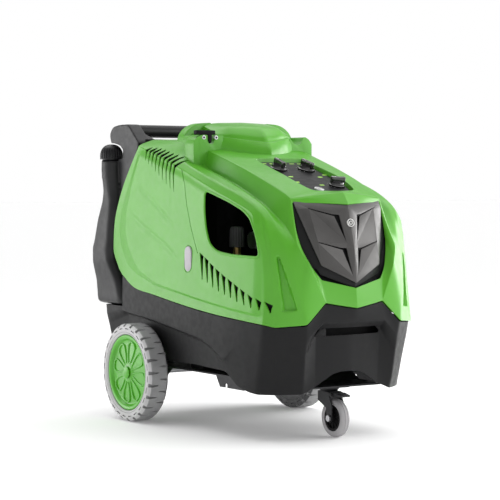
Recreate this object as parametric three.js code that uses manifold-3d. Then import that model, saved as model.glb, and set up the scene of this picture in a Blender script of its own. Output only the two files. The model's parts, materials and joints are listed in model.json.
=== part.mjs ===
// Hot-water pressure washer: two rear wheels, one braked swivel caster at the front,
// a moulded hood over a motor pump and a boiler, and a rear tank pair with a push handle.
// Units are millimetres, +Z is up, the front faces -Y, and x = 0 is the machine's middle plane.
import * as THREE from 'three';
import { mergeVertices } from 'three/addons/utils/BufferGeometryUtils.js';
import Module from 'manifold-3d';

// ---- driving dimensions -------------------------------------------------------------------
const GAP = 0.35;               // clearance between neighbouring pieces
const WALL = 4;                 // moulded wall thickness
const REAR_AXLE = { y: 210, z: 150, r: 10 };
const REAR_WHEEL = { r: 150, width: 70, x: 303, discR: 116 };
const CASTER = { swivelY: -390, wheelY: -422, z: 55, r: 55, width: 30, topZ: 142 };
const TRAY = { z: 168, t: 4, halfWidth: 236, rear: 405, front: -300 };
const HANDLE = { y: 430, z: 899, r: 17.5, halfSpan: 214 };
const UPRIGHT = { inner: 216, outer: 262 };
const NECK = { x: 247, y: 458, r: 43, top: 806 };
const PANEL = { y: -131, z: 803, slope: 0.328, recess: 9, t: 4 };
const MOTOR = { y: -235, z: 350, r: 82, from: 0, to: 205, shaftR: 12 };
const PUMP = { caseFrom: -108, headFrom: -182 };
const KNOB = { x: -150, y: -131, z: 541, r: 13, h: 38 };
const BOILER = { x: 0, y: 158, r: 148, z: 186, h: 560, flue: 34 };
const GRILLE = { y: 182, z: 872, r: 48 };
const BURNER = { y: -62, z: 640 };

const wasm = await Module();
wasm.setup();
const V3 = (x, y, z) => new THREE.Vector3(x, y, z);

// ---- solids -------------------------------------------------------------------------------
function solid(geometry) {
  const bare = geometry.clone();
  bare.deleteAttribute('normal');
  bare.deleteAttribute('uv');
  const merged = mergeVertices(bare, 1e-3);
  const mesh = new wasm.Mesh({
    numProp: 3,
    vertProperties: new Float32Array(merged.attributes.position.array),
    triVerts: new Uint32Array(merged.index.array),
  });
  return new wasm.Manifold(mesh);
}

function geometryOf(body) {
  const mesh = body.getMesh();
  const geometry = new THREE.BufferGeometry();
  geometry.setAttribute('position', new THREE.BufferAttribute(new Float32Array(mesh.vertProperties), 3));
  geometry.setIndex(new THREE.BufferAttribute(new Uint32Array(mesh.triVerts), 1));
  return geometry;
}

const cut = (body, ...tools) => tools.reduce((rest, tool) => rest.subtract(tool), body);
const join = (body, ...others) => others.reduce((sum, other) => sum.add(other), body);

function box(x0, x1, y0, y1, z0, z1) {
  const geometry = new THREE.BoxGeometry(x1 - x0, y1 - y0, z1 - z0);
  geometry.translate((x0 + x1) / 2, (y0 + y1) / 2, (z0 + z1) / 2);
  return solid(geometry);
}

function turn(geometry, axis) {
  if (axis === 'x') geometry.rotateZ(-Math.PI / 2);
  if (axis === 'z') geometry.rotateX(Math.PI / 2);
  return geometry;
}

// A round bar of length h starting at (x, y, z) and running along an axis.
function rod(axis, x, y, z, r, h, segments = 24, endR = r) {
  const geometry = turn(new THREE.CylinderGeometry(endR, r, h, segments).translate(0, h / 2, 0), axis);
  return solid(geometry.translate(x, y, z));
}

// A turned body: profile pairs are [radius, height], starting and ending on the axis or closed.
function turned(axis, x, y, z, profile, segments = 32) {
  const points = profile.map(([r, h]) => new THREE.Vector2(r, h));
  const geometry = turn(new THREE.LatheGeometry(points, segments), axis);
  return solid(geometry.translate(x, y, z));
}

const ring = (axis, x, y, z, r, innerR, h, segments = 32) => turned(
  axis, x, y, z, [[innerR, 0], [r, 0], [r, h], [innerR, h], [innerR, 0]], segments);

// A prism: outline pairs are (y, z), run along X from x0 to x1.
function sideways(outline, x0, x1) {
  const shape = new THREE.Shape(outline.map(([y, z]) => new THREE.Vector2(y, z)));
  const geometry = new THREE.ExtrudeGeometry(shape, { depth: x1 - x0, bevelEnabled: false });
  const place = new THREE.Matrix4().makeBasis(V3(0, 1, 0), V3(0, 0, 1), V3(1, 0, 0));
  return solid(geometry.applyMatrix4(place).translate(x0, 0, 0));
}

// A prism: outline pairs are (x, y), run up from z0 to z1.
function upward(outline, z0, z1) {
  const shape = new THREE.Shape(outline.map(([x, y]) => new THREE.Vector2(x, y)));
  const geometry = new THREE.ExtrudeGeometry(shape, { depth: z1 - z0, bevelEnabled: false });
  return solid(geometry.translate(0, 0, z0));
}

// A prism: outline pairs are (x, z), run along Y from y0 to y1.
function forward(outline, y0, y1) {
  const shape = new THREE.Shape(outline.map(([x, z]) => new THREE.Vector2(x, z)));
  const geometry = new THREE.ExtrudeGeometry(shape, { depth: y1 - y0, bevelEnabled: false });
  return solid(geometry.rotateX(Math.PI / 2).translate(0, y1, 0));
}

function tube(points, r, steps, sides = 10) {
  const path = new THREE.CatmullRomCurve3(points.map((p) => V3(...p)));
  const circle = new THREE.Shape().absarc(0, 0, r, 0, 2 * Math.PI);
  const options = { steps, extrudePath: path, curveSegments: sides / 2 };
  return solid(new THREE.ExtrudeGeometry(circle, options));
}

const mirrorX = (outline) => outline.map(([x, ...rest]) => [-x, ...rest]).reverse();
const bothSides = (outline) => [...outline, ...mirrorX(outline)];

// ---- moulded shells -----------------------------------------------------------------------
// A skin is a list of grids of [x, y, z] points on the +X half. The half is mirrored, and the
// whole skin is thickened inwards by t into one closed shell.
function skinMesh(grids) {
  const position = [];
  const index = [];
  const keys = new Map();
  const vertex = (p) => {
    const key = p.map((c) => Math.round(c * 100)).join(' ');
    if (!keys.has(key)) {
      keys.set(key, position.length);
      position.push(V3(...p));
    }
    return keys.get(key);
  };
  const face = (a, b, c, side) => {
    const ids = [a, b, c].map(([x, y, z]) => vertex([x * side, y, z]));
    if (new Set(ids).size < 3) return;
    index.push(side > 0 ? ids : ids.reverse());
  };
  for (const grid of grids) {
    for (let i = 0; i + 1 < grid.length; i += 1) {
      for (let j = 0; j + 1 < grid[i].length; j += 1) {
        for (const side of [1, -1]) {
          face(grid[i][j], grid[i][j + 1], grid[i + 1][j + 1], side);
          face(grid[i][j], grid[i + 1][j + 1], grid[i + 1][j], side);
        }
      }
    }
  }
  return { position, index };
}

function skinNormals({ position, index }) {
  const normals = position.map(() => V3(0, 0, 0));
  for (const [a, b, c] of index) {
    const edge = position[b].clone().sub(position[a]);
    const n = edge.cross(position[c].clone().sub(position[a])).normalize();
    for (const id of [a, b, c]) normals[id].add(n);
  }
  return normals.map((n) => n.normalize());
}

function shell(grids, t = WALL) {
  const skin = skinMesh(grids);
  const normals = skinNormals(skin);
  return between(skin, skin.position.map((p, i) => p.clone().addScaledVector(normals[i], -t)));
}

// The space just above a skin and everything for a depth below it, for fitting a piece onto it.
function under(grids, depth, gap = GAP) {
  const skin = skinMesh(grids);
  const inner = skin.position.map((p) => p.clone().add(V3(0, 0, -depth)));
  for (const p of skin.position) p.z += gap;
  return between(skin, inner);
}

// The closed body between a skin and its inner copy.
function between({ position, index }, inner) {
  const count = position.length;
  const faces = [];
  const open = new Map();
  for (const [a, b, c] of index) {
    faces.push([a, b, c], [a + count, c + count, b + count]);
    for (const [from, to] of [[a, b], [b, c], [c, a]]) {
      if (!open.delete(`${to} ${from}`)) open.set(`${from} ${to}`, [from, to]);
    }
  }
  for (const [from, to] of open.values()) {
    faces.push([from, from + count, to + count], [from, to + count, to]);
  }
  const geometry = new THREE.BufferGeometry();
  const flat = [...position, ...inner].flatMap((p) => [p.x, p.y, p.z]);
  geometry.setAttribute('position', new THREE.BufferAttribute(new Float32Array(flat), 3));
  geometry.setIndex(faces.flat());
  return solid(geometry);
}

const mix = (a, b, t) => a.map((value, k) => value + (b[k] - value) * t);

// A four-sided patch blended from its four edges; rows run from the bottom edge to the top one.
function coons(bottom, top, left, right) {
  const rows = left.length - 1;
  const cols = bottom.length - 1;
  return left.map((_, i) => bottom.map((__, j) => {
    const u = j / cols;
    const v = i / rows;
    const across = mix(left[i], right[i], u);
    const up = mix(bottom[j], top[j], v);
    const low = mix(bottom[0], bottom[cols], u);
    const high = mix(top[0], top[cols], u);
    const corner = mix(low, high, v);
    return across.map((value, k) => value + up[k] - corner[k]);
  }));
}

// ---- hood lines, rear to front, then down the front corner ----------------------------------
const SHOULDER = [[258, 262, 847], [260, 190, 827], [260, 100, 800], [262, 0, 772], [268, -100, 741],
  [270, -200, 709], [266, -300, 677], [258, -374, 645], [255, -400, 590], [251, -420, 526],
  [252, -430, 450], [256, -434, 390], [259, -436, 360], [262, -437, 335]];
const BROW_OUTER = [[240, 267, 854], [240, 185, 840], [240, 92, 818], [247, 0, 790], [254, -100, 760],
  [256, -203, 730], [250, -308, 696], [240, -388, 654], [236, -420, 598], [236, -440, 530],
  [237, -451, 450], [239, -457, 390], [240, -461, 355], [240, -465, 328]];
const BROW_INNER = [[220, 271, 860], [220, 182, 852], [220, 83, 836], [217, -6, 790], [217, -100, 765],
  [220, -200, 735], [220, -302, 700], [215, -382, 661], [207, -430, 607], [203, -455, 560],
  [197, -475, 500], [187, -492, 440], [175, -505, 385], [165, -515, 335]];
const VALLEY = [[200, 275, 866], [200, 180, 862], [200, 75, 853], [188, -12, 782], [184, -100, 750],
  [188, -200, 720], [193, -300, 685], [195, -370, 655], [180, -427, 610], [174, -460, 575],
  [170, -480, 550], [155, -495, 518], [140, -506, 487], [100, -513, 395]];
const RAIL = [[120, 275, 868], [120, 180, 864], [120, 75, 856], [175, -10, 829], [172, -100, 803],
  [169, -200, 773], [166, -300, 739], [160, -384, 706], [158, -418, 688], [154, -424, 676],
  [155, -440, 620], [154, -452, 574], [130, -482, 500], [104, -498, 458]];
const RIM = [[0, 275, 870], [0, 180, 866], [0, 75, 858], [0, -125, 806], [82, -131, 803],
  [90, -218, 777], [92, -300, 753], [87, -365, 729], [70, -411, 711], [35, -417, 709], [0, -419, 708]];
const LIP = [[80, -440, 697], [0, -457, 705]];
const BADGE_TOP = [[80, -453, 674], [0, -482, 671]];
const BELOW_BADGE = [[52, -509, 446], [0, -521, 434]];
const NOSE_BOTTOM = [[50, -520, 386], [0, -527, 378]];
const REAR_EDGE = [[281, 330, 445], [278, 355, 472], [275, 385, 530], [273, 378, 610], [270, 345, 700],
  [265, 305, 775], [258, 262, 847]];
const PARTING = [[281, 330, 445], [288, 240, 408], [290, 125, 393], [290, 0, 377], [289, -110, 364],
  [285, -220, 353], [276, -330, 344], [262, -437, 335]];
const CORNER_TURN = 7;          // where the shoulder line turns down the front corner
const LIP_TURN = 8;             // where the rail line turns across the front lip

const WINDOW = [[-147, 704], [-265, 673], [-330, 651], [-372, 625], [-394, 590], [-402, 529],
  [-280, 530], [-201, 541], [-163, 576], [-149, 637]];

function hoodTop() {
  const brow = [SHOULDER, BROW_OUTER, BROW_INNER, VALLEY];
  const top = [[...RAIL.slice(0, LIP_TURN + 1), ...LIP], RIM];
  return [brow, [VALLEY, RAIL], top].map((grid) => grid.map((row) => [...row].reverse()));
}

function hoodSkin() {
  const side = coons(PARTING, SHOULDER.slice(0, CORNER_TURN + 1), REAR_EDGE,
    SHOULDER.slice(CORNER_TURN).reverse());
  const lip = [[RAIL[LIP_TURN + 1], ...BADGE_TOP], [RAIL[LIP_TURN], ...LIP]];
  const nose = [[VALLEY.at(-1), ...NOSE_BOTTOM], [RAIL.at(-1), ...BELOW_BADGE]];
  return [...[side, lip, nose].map((grid) => grid.map((row) => [...row].reverse())), ...hoodTop()];
}

// Slanted slots low on the side, below the window, getting shorter towards the front.
function lowerVents(side) {
  const slots = [];
  for (let k = 0; k < 11; k += 1) {
    const y = -150 - k * 27;
    const z = 520 - k * 13.6;
    const length = 70 - k * 4;
    const outline = [[y, z], [y - 9, z - 4], [y - length * 0.16 - 3, z - length], [y - length * 0.1, z - length]];
    slots.push(sideways(outline, side > 0 ? 225 : -300, side > 0 ? 300 : -225));
  }
  return slots;
}

// Slots high at the rear of the side, growing towards the front.
function upperVents(side) {
  const slots = [];
  for (let k = 0; k < 9; k += 1) {
    const y = 208 - k * 20.5;
    const z = 824 - k * 6.1;
    const length = 30 + k * 5.6;
    const outline = [[y, z], [y - 6, z - 2], [y - 4, z - length], [y - 3, z - length]];
    slots.push(sideways(outline, side > 0 ? 235 : -300, side > 0 ? 300 : -235));
  }
  return slots;
}

function hood() {
  let body = shell(hoodSkin());
  for (const side of [1, -1]) {
    body = cut(body, ...lowerVents(side), ...upperVents(side), sidePlugHole(side));
  }
  body = cut(body, sideways(WINDOW, -300, -215));
  return cut(body, rod('z', 0, GRILLE.y, 850, GRILLE.r - 8, 30, 28));
}

function ovalAt(side, grow, x0, x1) {
  const points = [];
  const half = 19;
  for (let k = 0; k < 24; k += 1) {
    const angle = (k / 24) * 2 * Math.PI;
    const lift = Math.sin(angle) >= 0 ? half : -half;
    const r = 19.5 + grow;
    points.push([-70 + r * Math.cos(angle), 507 + lift + r * Math.sin(angle)]);
  }
  return sideways(points, side > 0 ? x0 : -x1, side > 0 ? x1 : -x0);
}

const sidePlugHole = (side) => ovalAt(side, GAP, 255, 310);

function sidePlug(side) {
  return join(ovalAt(side, 0, 268, 287), ovalAt(side, 5, 262, 268.1));
}

// ---- top cowl with its two lance rests --------------------------------------------------------
function cowlTower(side) {
  const outline = [[-12, 780], [64, 800], [64, 882], [30, 886], [-10, 882]];
  const block = sideways(outline, side > 0 ? 124 : -206, side > 0 ? 206 : -124);
  const notch = rod('y', side * 160, -20, 866, 18, 100);
  const mouth = box(side * 160 - 18, side * 160 + 18, -20, 90, 866, 900);
  return { block, notch, mouth };
}

function topCowl() {
  const profile = [[-88, 819], [-40, 857], [-44, 909], [30, 918], [90, 916], [128, 880], [128, 873],
    [60, 864], [-10, 860], [-60, 834]];
  let body = sideways(profile, -140, 78);
  const end = [[-78, 830], [-40, 857], [-40, 872], [20, 892], [80, 892], [110, 874], [110, 872],
    [50, 864], [-10, 860], [-60, 834]];
  body = join(body, sideways(end, 77, 126));
  const disc = rod('y', -160, 40, 869, 46, 30, 40);
  body = join(body, cut(disc, box(-220, -100, 30, 80, 800, 864)));
  for (const side of [1, -1]) {
    const { block, notch, mouth } = cowlTower(side);
    body = cut(join(body, block), notch.subtract(box(-210, 210, 39, 90, 840, 920)),
      mouth.subtract(box(-210, 210, 39, 90, 840, 920)));
  }
  return cut(body, under(hoodTop().map((grid) => grid.map((row) => row.slice(-6))), 140));
}

// The T-shaped rubber latch across the left-hand rest.
function lanceClip() {
  const x = -160;
  const bar = box(x - 19, x + 19, 2, 12, 886.5, 892);
  const stem = box(x - 4, x + 4, 2, 12, 864, 887);
  return join(bar, stem);
}

// ---- console ----------------------------------------------------------------------------------
const panelZ = (y) => PANEL.z + PANEL.slope * (y - PANEL.y);
const panelAngle = Math.atan(PANEL.slope);

// Turns a body built around a vertical axis square to the sloping panel and sets it there.
function onPanel(geometryBody, x, y, height) {
  const geometry = geometryOf(geometryBody);
  geometry.rotateX(panelAngle);
  const lift = height - PANEL.recess * Math.cos(panelAngle);
  geometry.translate(x, y - lift * Math.sin(panelAngle), panelZ(y) + lift * Math.cos(panelAngle));
  return solid(geometry);
}

function controlPanel() {
  const half = [[78, -136], [85, -218], [87, -300], [82, -362], [66, -404], [34, -411]];
  const outline = bothSides(half);
  const plate = new THREE.ExtrudeGeometry(
    new THREE.Shape(outline.map(([x, y]) => new THREE.Vector2(x, y))),
    { depth: PANEL.t, bevelEnabled: false });
  plate.applyMatrix4(new THREE.Matrix4().set(1, 0, 0, 0, 0, 1, 0, 0, 0, PANEL.slope, 1, 0, 0, 0, 0, 1));
  plate.translate(0, 0, PANEL.z - PANEL.slope * PANEL.y - PANEL.recess - PANEL.t);
  let body = cut(solid(plate), shell(hoodSkin(), WALL + GAP));
  for (const { x, y } of PANEL_KNOBS) body = cut(body, onPanel(rod('z', 0, 0, -10, 4.4, 20, 16), x, y, 0));
  return cut(body, onPanel(rod('z', 0, 0, -10, 15.4, 20, 24), GAUGE.x, GAUGE.y, 0));
}

const PANEL_KNOBS = [
  { name: 'main_switch_knob', x: -45, y: -198, r: 20, h: 24 },
  { name: 'thermostat_knob', x: 50, y: -205, r: 22, h: 24 },
  { name: 'detergent_knob', x: 57, y: -350, r: 19, h: 22 },
];
const GAUGE = { x: -28, y: -378, r: 15 };

function panelKnob({ x, y, r, h }) {
  const skirt = turned('z', 0, 0, 0, [[0, 0.6], [r, 0.6], [r, 5], [r * 0.78, 9], [0, 9]], 28);
  const grip = box(-3.6, 3.6, -r * 0.92, r * 0.92, 8.5, h);
  const spindle = rod('z', 0, 0, -9, 4, 10, 16);
  return onPanel(join(skirt, grip, spindle), x, y, 0);
}

function pressureGauge() {
  const body = turned('z', 0, 0, 0, [[0, -26], [13, -26], [15, -22], [15, 2], [12.5, 3.5], [0, 3.5]], 28);
  return onPanel(body, GAUGE.x, GAUGE.y, 0);
}

// ---- badge ------------------------------------------------------------------------------------
const BADGE_HALF = [[0, -483, 658], [78, -453, 671], [147, -426, 674], [149, -453, 574], [120, -484, 498],
  [100, -495, 475], [0, -524, 451]];

// A faceted plate: a ridge runs down the middle, and each outline point is joined to it.
function badgePlate(halfOutline, t) {
  const last = halfOutline.length - 1;
  const ridge = halfOutline.map((_, i) => mix(halfOutline[0], halfOutline[last], i / last));
  return shell([[halfOutline, ridge].map((row) => [...row].reverse())], t);
}

const badgeShield = () => badgePlate(BADGE_HALF, 4);

// The dark plate behind the shield stops short of the hood's opening all round.
const SURROUND_HALF = [[0, -470, 655], [76, -440, 666], [142, -415, 664], [142, -436, 574], [120, -470, 503],
  [98, -486, 470], [46, -500, 452], [0, -508, 444]];

const badgeSurround = () => badgePlate(SURROUND_HALF, 3);

// ---- connectors through the rear wall of the base --------------------------------------------------
const CONNECTORS = [
  { name: 'water_inlet', finish: 'brass', x: -70, r: 13 },
  { name: 'pressure_outlet', finish: 'zinc', x: 20, r: 11 },
  { name: 'cable_gland', finish: 'inner_black', x: 120, r: 9 },
];
const CONNECTOR = { z: 285, inside: 425, wall: 451, nutEnd: 462, end: 484 };

function connector({ x, r }) {
  const { z, inside, wall, nutEnd, end } = CONNECTOR;
  const tail = rod('y', x, inside, z, r, wall - inside + 1, 20);
  const nut = rod('y', x, wall, z, r + 6, nutEnd - wall, 6);
  const spigot = rod('y', x, nutEnd - 1, z, r - 1, end - nutEnd, 20);
  return cut(join(tail, nut, spigot), rod('y', x, inside + 8, z, r - 4, end - inside, 16));
}

const connectorHole = ({ x, r }) => rod('y', x, CONNECTOR.inside, CONNECTOR.z, r + GAP, 60, 20);

// ---- base tub -----------------------------------------------------------------------------------
// Columns of the base wall from the rear middle to the front middle, each from top to bottom.
const BASE_COLUMNS = [
  [[0, 455, 345], [0, 450, 310], [0, 445, 270], [0, 440, 230], [0, 436, 190]],
  [[222, 455, 345], [221, 450, 310], [220, 445, 270], [219, 440, 230], [218, 436, 190]],
  [[262, 440, 345], [260, 436, 336], [248, 430, 326], [247, 426, 250], [246, 424, 190]],
  [[279, 333, 345], [278, 333, 332], [256, 333, 320], [254, 333, 250], [252, 333, 190]],
  [[280, 329, 441], [279, 329, 331], [256, 329, 319], [254, 329, 250], [252, 329, 190]],
  [[286, 240, 405], [285, 240, 324], [256, 240, 313], [254, 240, 250], [252, 240, 190]],
  [[288, 125, 390], [287, 125, 312], [256, 125, 301], [254, 125, 248], [252, 125, 191]],
  [[288, 0, 374], [287, 0, 296], [264, 0, 286], [258, 0, 242], [254, 0, 193]],
  [[288, -75, 365], [286, -75, 286], [273, -75, 276], [266, -75, 238], [260, -75, 195]],
  [[287, -145, 357], [284, -145, 277], [276, -145, 266], [270, -145, 230], [265, -145, 193]],
  [[284, -207, 351], [281, -207, 252], [275, -207, 243], [271, -207, 218], [268, -207, 192]],
  [[281, -256, 347], [277, -256, 221], [273, -256, 213], [270, -256, 200], [268, -256, 190]],
  [[277, -300, 343], [273, -300, 260], [269, -300, 210], [266, -302, 180], [263, -306, 152]],
  [[272, -345, 340], [268, -347, 280], [263, -350, 220], [260, -352, 175], [257, -355, 139]],
  [[258, -434, 332], [255, -425, 280], [252, -412, 230], [251, -400, 180], [249, -390, 134]],
  [[231, -462, 325], [227, -455, 280], [223, -446, 230], [218, -436, 180], [213, -425, 134]],
  [[163, -511, 331], [161, -503, 290], [159, -494, 240], [157, -485, 180], [154, -474, 137]],
  [[99, -511, 391], [108, -511, 338], [112, -482, 316], [111, -478, 240], [109, -474, 156]],
  [[50, -517, 382], [52, -514, 338], [55, -488, 316], [55, -484, 240], [52, -482, 190]],
  [[0, -523, 374], [0, -516, 338], [0, -492, 316], [0, -489, 250], [0, -487, 201]],
];

function baseTub() {
  const slotOutline = [[-112, 289], [-112, 301], [-104, 309], [104, 309], [112, 301], [112, 289]];
  const columns = BASE_COLUMNS.map((column) => [...column].reverse());
  return cut(shell([columns]), forward(slotOutline, -500, -470), ...CONNECTORS.map(connectorHole));
}

// ---- chassis ------------------------------------------------------------------------------------
function chassisTray() {
  const { z, t, halfWidth: w, rear, front } = TRAY;
  let body = box(-w, w, front, rear, z, z + t);
  body = join(body, sideways([[front + 1, z + t], [front + 1, z], [-332, 147], [-458, 147], [-458, 151],
    [-334, 151]], -150, 150));
  for (const side of [1, -1]) {
    const foot = sideways([[-150, z + 1], [-172, 136], [-300, 136], [-300, z + 1]],
      side > 0 ? w - t : -w, side > 0 ? w : -w + t);
    const keyhole = sideways([[-198, 130], [-198, 146], [-205, 150], [-212, 146], [-212, 130]], -w - 1, w + 1);
    const ear = sideways([[100, z + 1], [150, 128], [270, 128], [320, z + 1]],
      side > 0 ? w - t : -w, side > 0 ? w : -w + t);
    body = join(body, cut(foot, keyhole), ear);
  }
  return cut(body, rod('x', -260, REAR_AXLE.y, REAR_AXLE.z, REAR_AXLE.r + GAP, 520, 24));
}

// ---- rear tanks, necks, caps and handle -----------------------------------------------------------
// Tank levels: z, rear y, front y, outer x. The tank is lofted through rounded rectangles.
const TANK_LEVELS = [[347, 480, 336, 258], [356, 500, 336, 270], [420, 512, 360, 276], [490, 526.7, 402, 280],
  [540, 520, 403, 280], [590, 500, 400, 278], [640, 488, 396, 274]];

function loft(rings) {
  const count = rings[0].length;
  const position = rings.flat().flat();
  const index = [];
  rings.slice(1).forEach((_, i) => {
    for (let k = 0; k < count; k += 1) {
      const next = (k + 1) % count;
      const [a, b, c, d] = [i * count + k, i * count + next, (i + 1) * count + next, (i + 1) * count + k];
      index.push(a, b, c, a, c, d);
    }
  });
  const capEnd = (ringIndex, flip) => {
    const middle = [0, 1, 2].map((axis) => rings[ringIndex].reduce((sum, p) => sum + p[axis], 0) / count);
    const id = position.length / 3;
    position.push(...middle);
    for (let k = 0; k < count; k += 1) {
      const [a, b] = [ringIndex * count + k, ringIndex * count + ((k + 1) % count)];
      index.push(...(flip ? [id, b, a] : [id, a, b]));
    }
  };
  capEnd(0, true);
  capEnd(rings.length - 1, false);
  const geometry = new THREE.BufferGeometry();
  geometry.setAttribute('position', new THREE.BufferAttribute(new Float32Array(position), 3));
  geometry.setIndex(index);
  return solid(geometry);
}

function roundedRing(x0, x1, y0, y1, z, r) {
  const points = [];
  const corners = [[x1 - r, y1 - r, 0], [x0 + r, y1 - r, 1], [x0 + r, y0 + r, 2], [x1 - r, y0 + r, 3]];
  for (const [cx, cy, quarter] of corners) {
    for (let k = 0; k <= 3; k += 1) {
      const angle = ((quarter + k / 3) * Math.PI) / 2;
      points.push([cx + r * Math.cos(angle), cy + r * Math.sin(angle), z]);
    }
  }
  return points;
}

// The shoulder above the tank narrows to the neck: z, front y, rear y, inner x, outer x.
const SHOULDER_LEVELS = [[640, 396, 488, 60, 274], [690, 408, 494, 150, 284], [730, 414, 502, 203, 290]];

function tankRings(levels, side, inset) {
  return levels.map(([z, y0, y1, inner, outer]) => {
    const edges = [side * (inner + inset), side * (outer - inset)].sort((a, b) => a - b);
    return roundedRing(...edges, y0 + inset, y1 - inset, z, 30 - inset);
  });
}

function rearTank(side) {
  const lower = TANK_LEVELS.map(([z, rear, front, outer]) => [z, front, rear, 2, outer]);
  const cavity = lower.map(([z, ...rest], i) => [i ? z : z + WALL, ...rest]);
  const neck = rod('z', side * NECK.x, NECK.y, 725, NECK.r, NECK.top - 725, 28);
  const outside = join(loft(tankRings(lower, side, 0)), loft(tankRings(SHOULDER_LEVELS, side, 0)), neck);
  const inside = join(loft(tankRings(cavity, side, WALL)), loft(tankRings(SHOULDER_LEVELS, side, WALL)));
  return cut(outside, inside, rod('z', side * NECK.x, NECK.y, 700, 30, NECK.top - 699, 24));
}

// A domed screw cap on each neck, with a plug that reaches down into it.
function fillerCap(side) {
  const x = side * NECK.x;
  const profile = [[0, 0.6], [37, 0.6], [37.5, 12], [34, 26], [24, 36], [10, 41], [0, 42]];
  const dome = turned('z', x, NECK.y, NECK.top, profile, 24);
  return join(dome, rod('z', x, NECK.y, NECK.top - 16, 29.2, 17, 24));
}

const UPRIGHT_SIDE = [[345, 913], [440, 914], [484, 902], [500, 884], [494, 856], [424, 852], [408, 800],
  [404, 700], [392, 642.5], [388, 642.5], [384, 660], [350, 738], [300, 826], [290, 870]];

function handleUpright(side) {
  const { inner, outer } = UPRIGHT;
  const body = sideways(UPRIGHT_SIDE, side > 0 ? inner : -outer, side > 0 ? outer : -inner);
  const clear = rod('z', side * NECK.x, NECK.y, 640, NECK.r + GAP + 0.3, 220, 32);
  return cut(body, clear);
}

const handleBar = () => rod('x', -HANDLE.halfSpan, HANDLE.y, HANDLE.z, HANDLE.r, 2 * HANDLE.halfSpan, 28);

// The black panel between the uprights, above the tanks, with its row of louvres.
function rearCover() {
  const w = UPRIGHT.inner - 2;
  const outline = [[392, 642], [392, 820], [350, 858], [292, 864], [292, 868], [352, 862], [396, 822],
    [396, 642]];
  let body = sideways(outline, -w, w);
  for (let k = 0; k < 6; k += 1) {
    body = cut(body, box(-110, 110, 385, 400, 700 + k * 18, 708 + k * 18));
  }
  return body;
}

// ---- rear wheels --------------------------------------------------------------------------------
function rearTyre(side) {
  const { r, width, x, discR } = REAR_WHEEL;
  const half = width / 2;
  const profile = [[discR + GAP, -half + 6], [discR + 10, -half + 1], [r - 8, -half], [r, -half + 7],
    [r, half - 7], [r - 8, half], [discR + 10, half - 1], [discR + GAP, half - 6], [discR + GAP, -half + 6]];
  return turned('x', side * x, REAR_AXLE.y, REAR_AXLE.z, profile, 36);
}

function rearHub(side) {
  const { width, x, discR } = REAR_WHEEL;
  const half = width / 2;
  const bore = REAR_AXLE.r + GAP;
  const profile = [[bore, -half], [26, -half], [26, -8], [discR - 10, -8], [discR - 10, -half + 6],
    [discR, -half + 6], [discR, half - 6], [discR - 6, half - 8], [discR - 20, half - 22],
    [34, half - 16], [24, half - 4], [bore, half - 4], [bore, -half]];
  const turnedProfile = profile.map(([radius, h]) => [radius, side * h]);
  if (side < 0) turnedProfile.reverse();
  return turned('x', side * x, REAR_AXLE.y, REAR_AXLE.z, turnedProfile, 36);
}

function hubCap(side) {
  const start = REAR_WHEEL.x + REAR_WHEEL.width / 2 - 3.6;
  const profile = [[0, 3.2], [13, 3.2], [13, 0], [20, 0], [20, 3], [14, 6], [0, 6.6]];
  const turnedProfile = profile.map(([radius, h]) => [radius, side * h]);
  if (side < 0) turnedProfile.reverse();
  return turned('x', side * start, REAR_AXLE.y, REAR_AXLE.z, turnedProfile, 24);
}

const rearAxle = () => rod('x', -(REAR_WHEEL.x + 34), REAR_AXLE.y, REAR_AXLE.z, REAR_AXLE.r,
  2 * (REAR_WHEEL.x + 34), 20);

// ---- caster --------------------------------------------------------------------------------------
function casterPlate() {
  const { swivelY: y, topZ } = CASTER;
  const plate = box(-42, 42, y - 42, y + 42, topZ, topZ + 4.5);
  const race = turned('z', 0, y, topZ - 11, [[12.4, 0], [24, 0], [30, 7], [30, 11.2], [12.4, 11.2], [12.4, 0]]);
  return join(plate, race);
}

function casterFork() {
  const { swivelY: y, wheelY, z, topZ } = CASTER;
  const crown = box(-23, 23, y - 26, y + 24, topZ - 17, topZ - 11.6);
  const post = rod('z', 0, y, topZ - 12, 12, 11.4, 24);
  let body = join(crown, post);
  const leg = [[y + 24, topZ - 12], [y - 26, topZ - 12], [wheelY - 12, 92], [wheelY - 12, z - 6],
    [wheelY, z - 13], [wheelY + 12, z - 6], [wheelY + 16, 84], [y + 24, 104]];
  const lug = [[y - 25, topZ - 12], [y - 25, topZ - 17], [PEDAL.y - 5, PEDAL.z - 6], [PEDAL.y - 5, PEDAL.z + 5]];
  for (const x of [-23, 19.5]) body = join(body, sideways(leg, x, x + 3.5), sideways(lug, x, x + 3.5));
  return cut(body, rod('x', -30, wheelY, z, 6 + GAP, 60, 20));
}

function casterTyre() {
  const { wheelY, z, r, width } = CASTER;
  const half = width / 2;
  return turned('x', 0, wheelY, z, [[38, -half + 2], [r - 10, -half], [r - 3, -half + 3], [r, -6], [r, 6],
    [r - 3, half - 3], [r - 10, half], [38, half - 2], [38, -half + 2]], 32);
}

function casterHub() {
  const { wheelY, z } = CASTER;
  return turned('x', 0, wheelY, z, [[6 + GAP, -18], [13, -18], [13, -7], [30, -7], [30, -12],
    [38 - GAP, -12], [38 - GAP, 12], [30, 12], [30, 7], [13, 7], [13, 18], [6 + GAP, 18], [6 + GAP, -18]], 20);
}

function casterAxle() {
  const { wheelY, z } = CASTER;
  const head = rod('x', 23 + GAP, wheelY, z, 10, 5, 6);
  const nut = rod('x', -28 - GAP, wheelY, z, 10, 5, 6);
  return join(rod('x', -27, wheelY, z, 6, 54, 20), head, nut);
}

// The brake pedal hangs on two lugs ahead of the fork crown.
const PEDAL = { y: -425, z: 122 };

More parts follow.
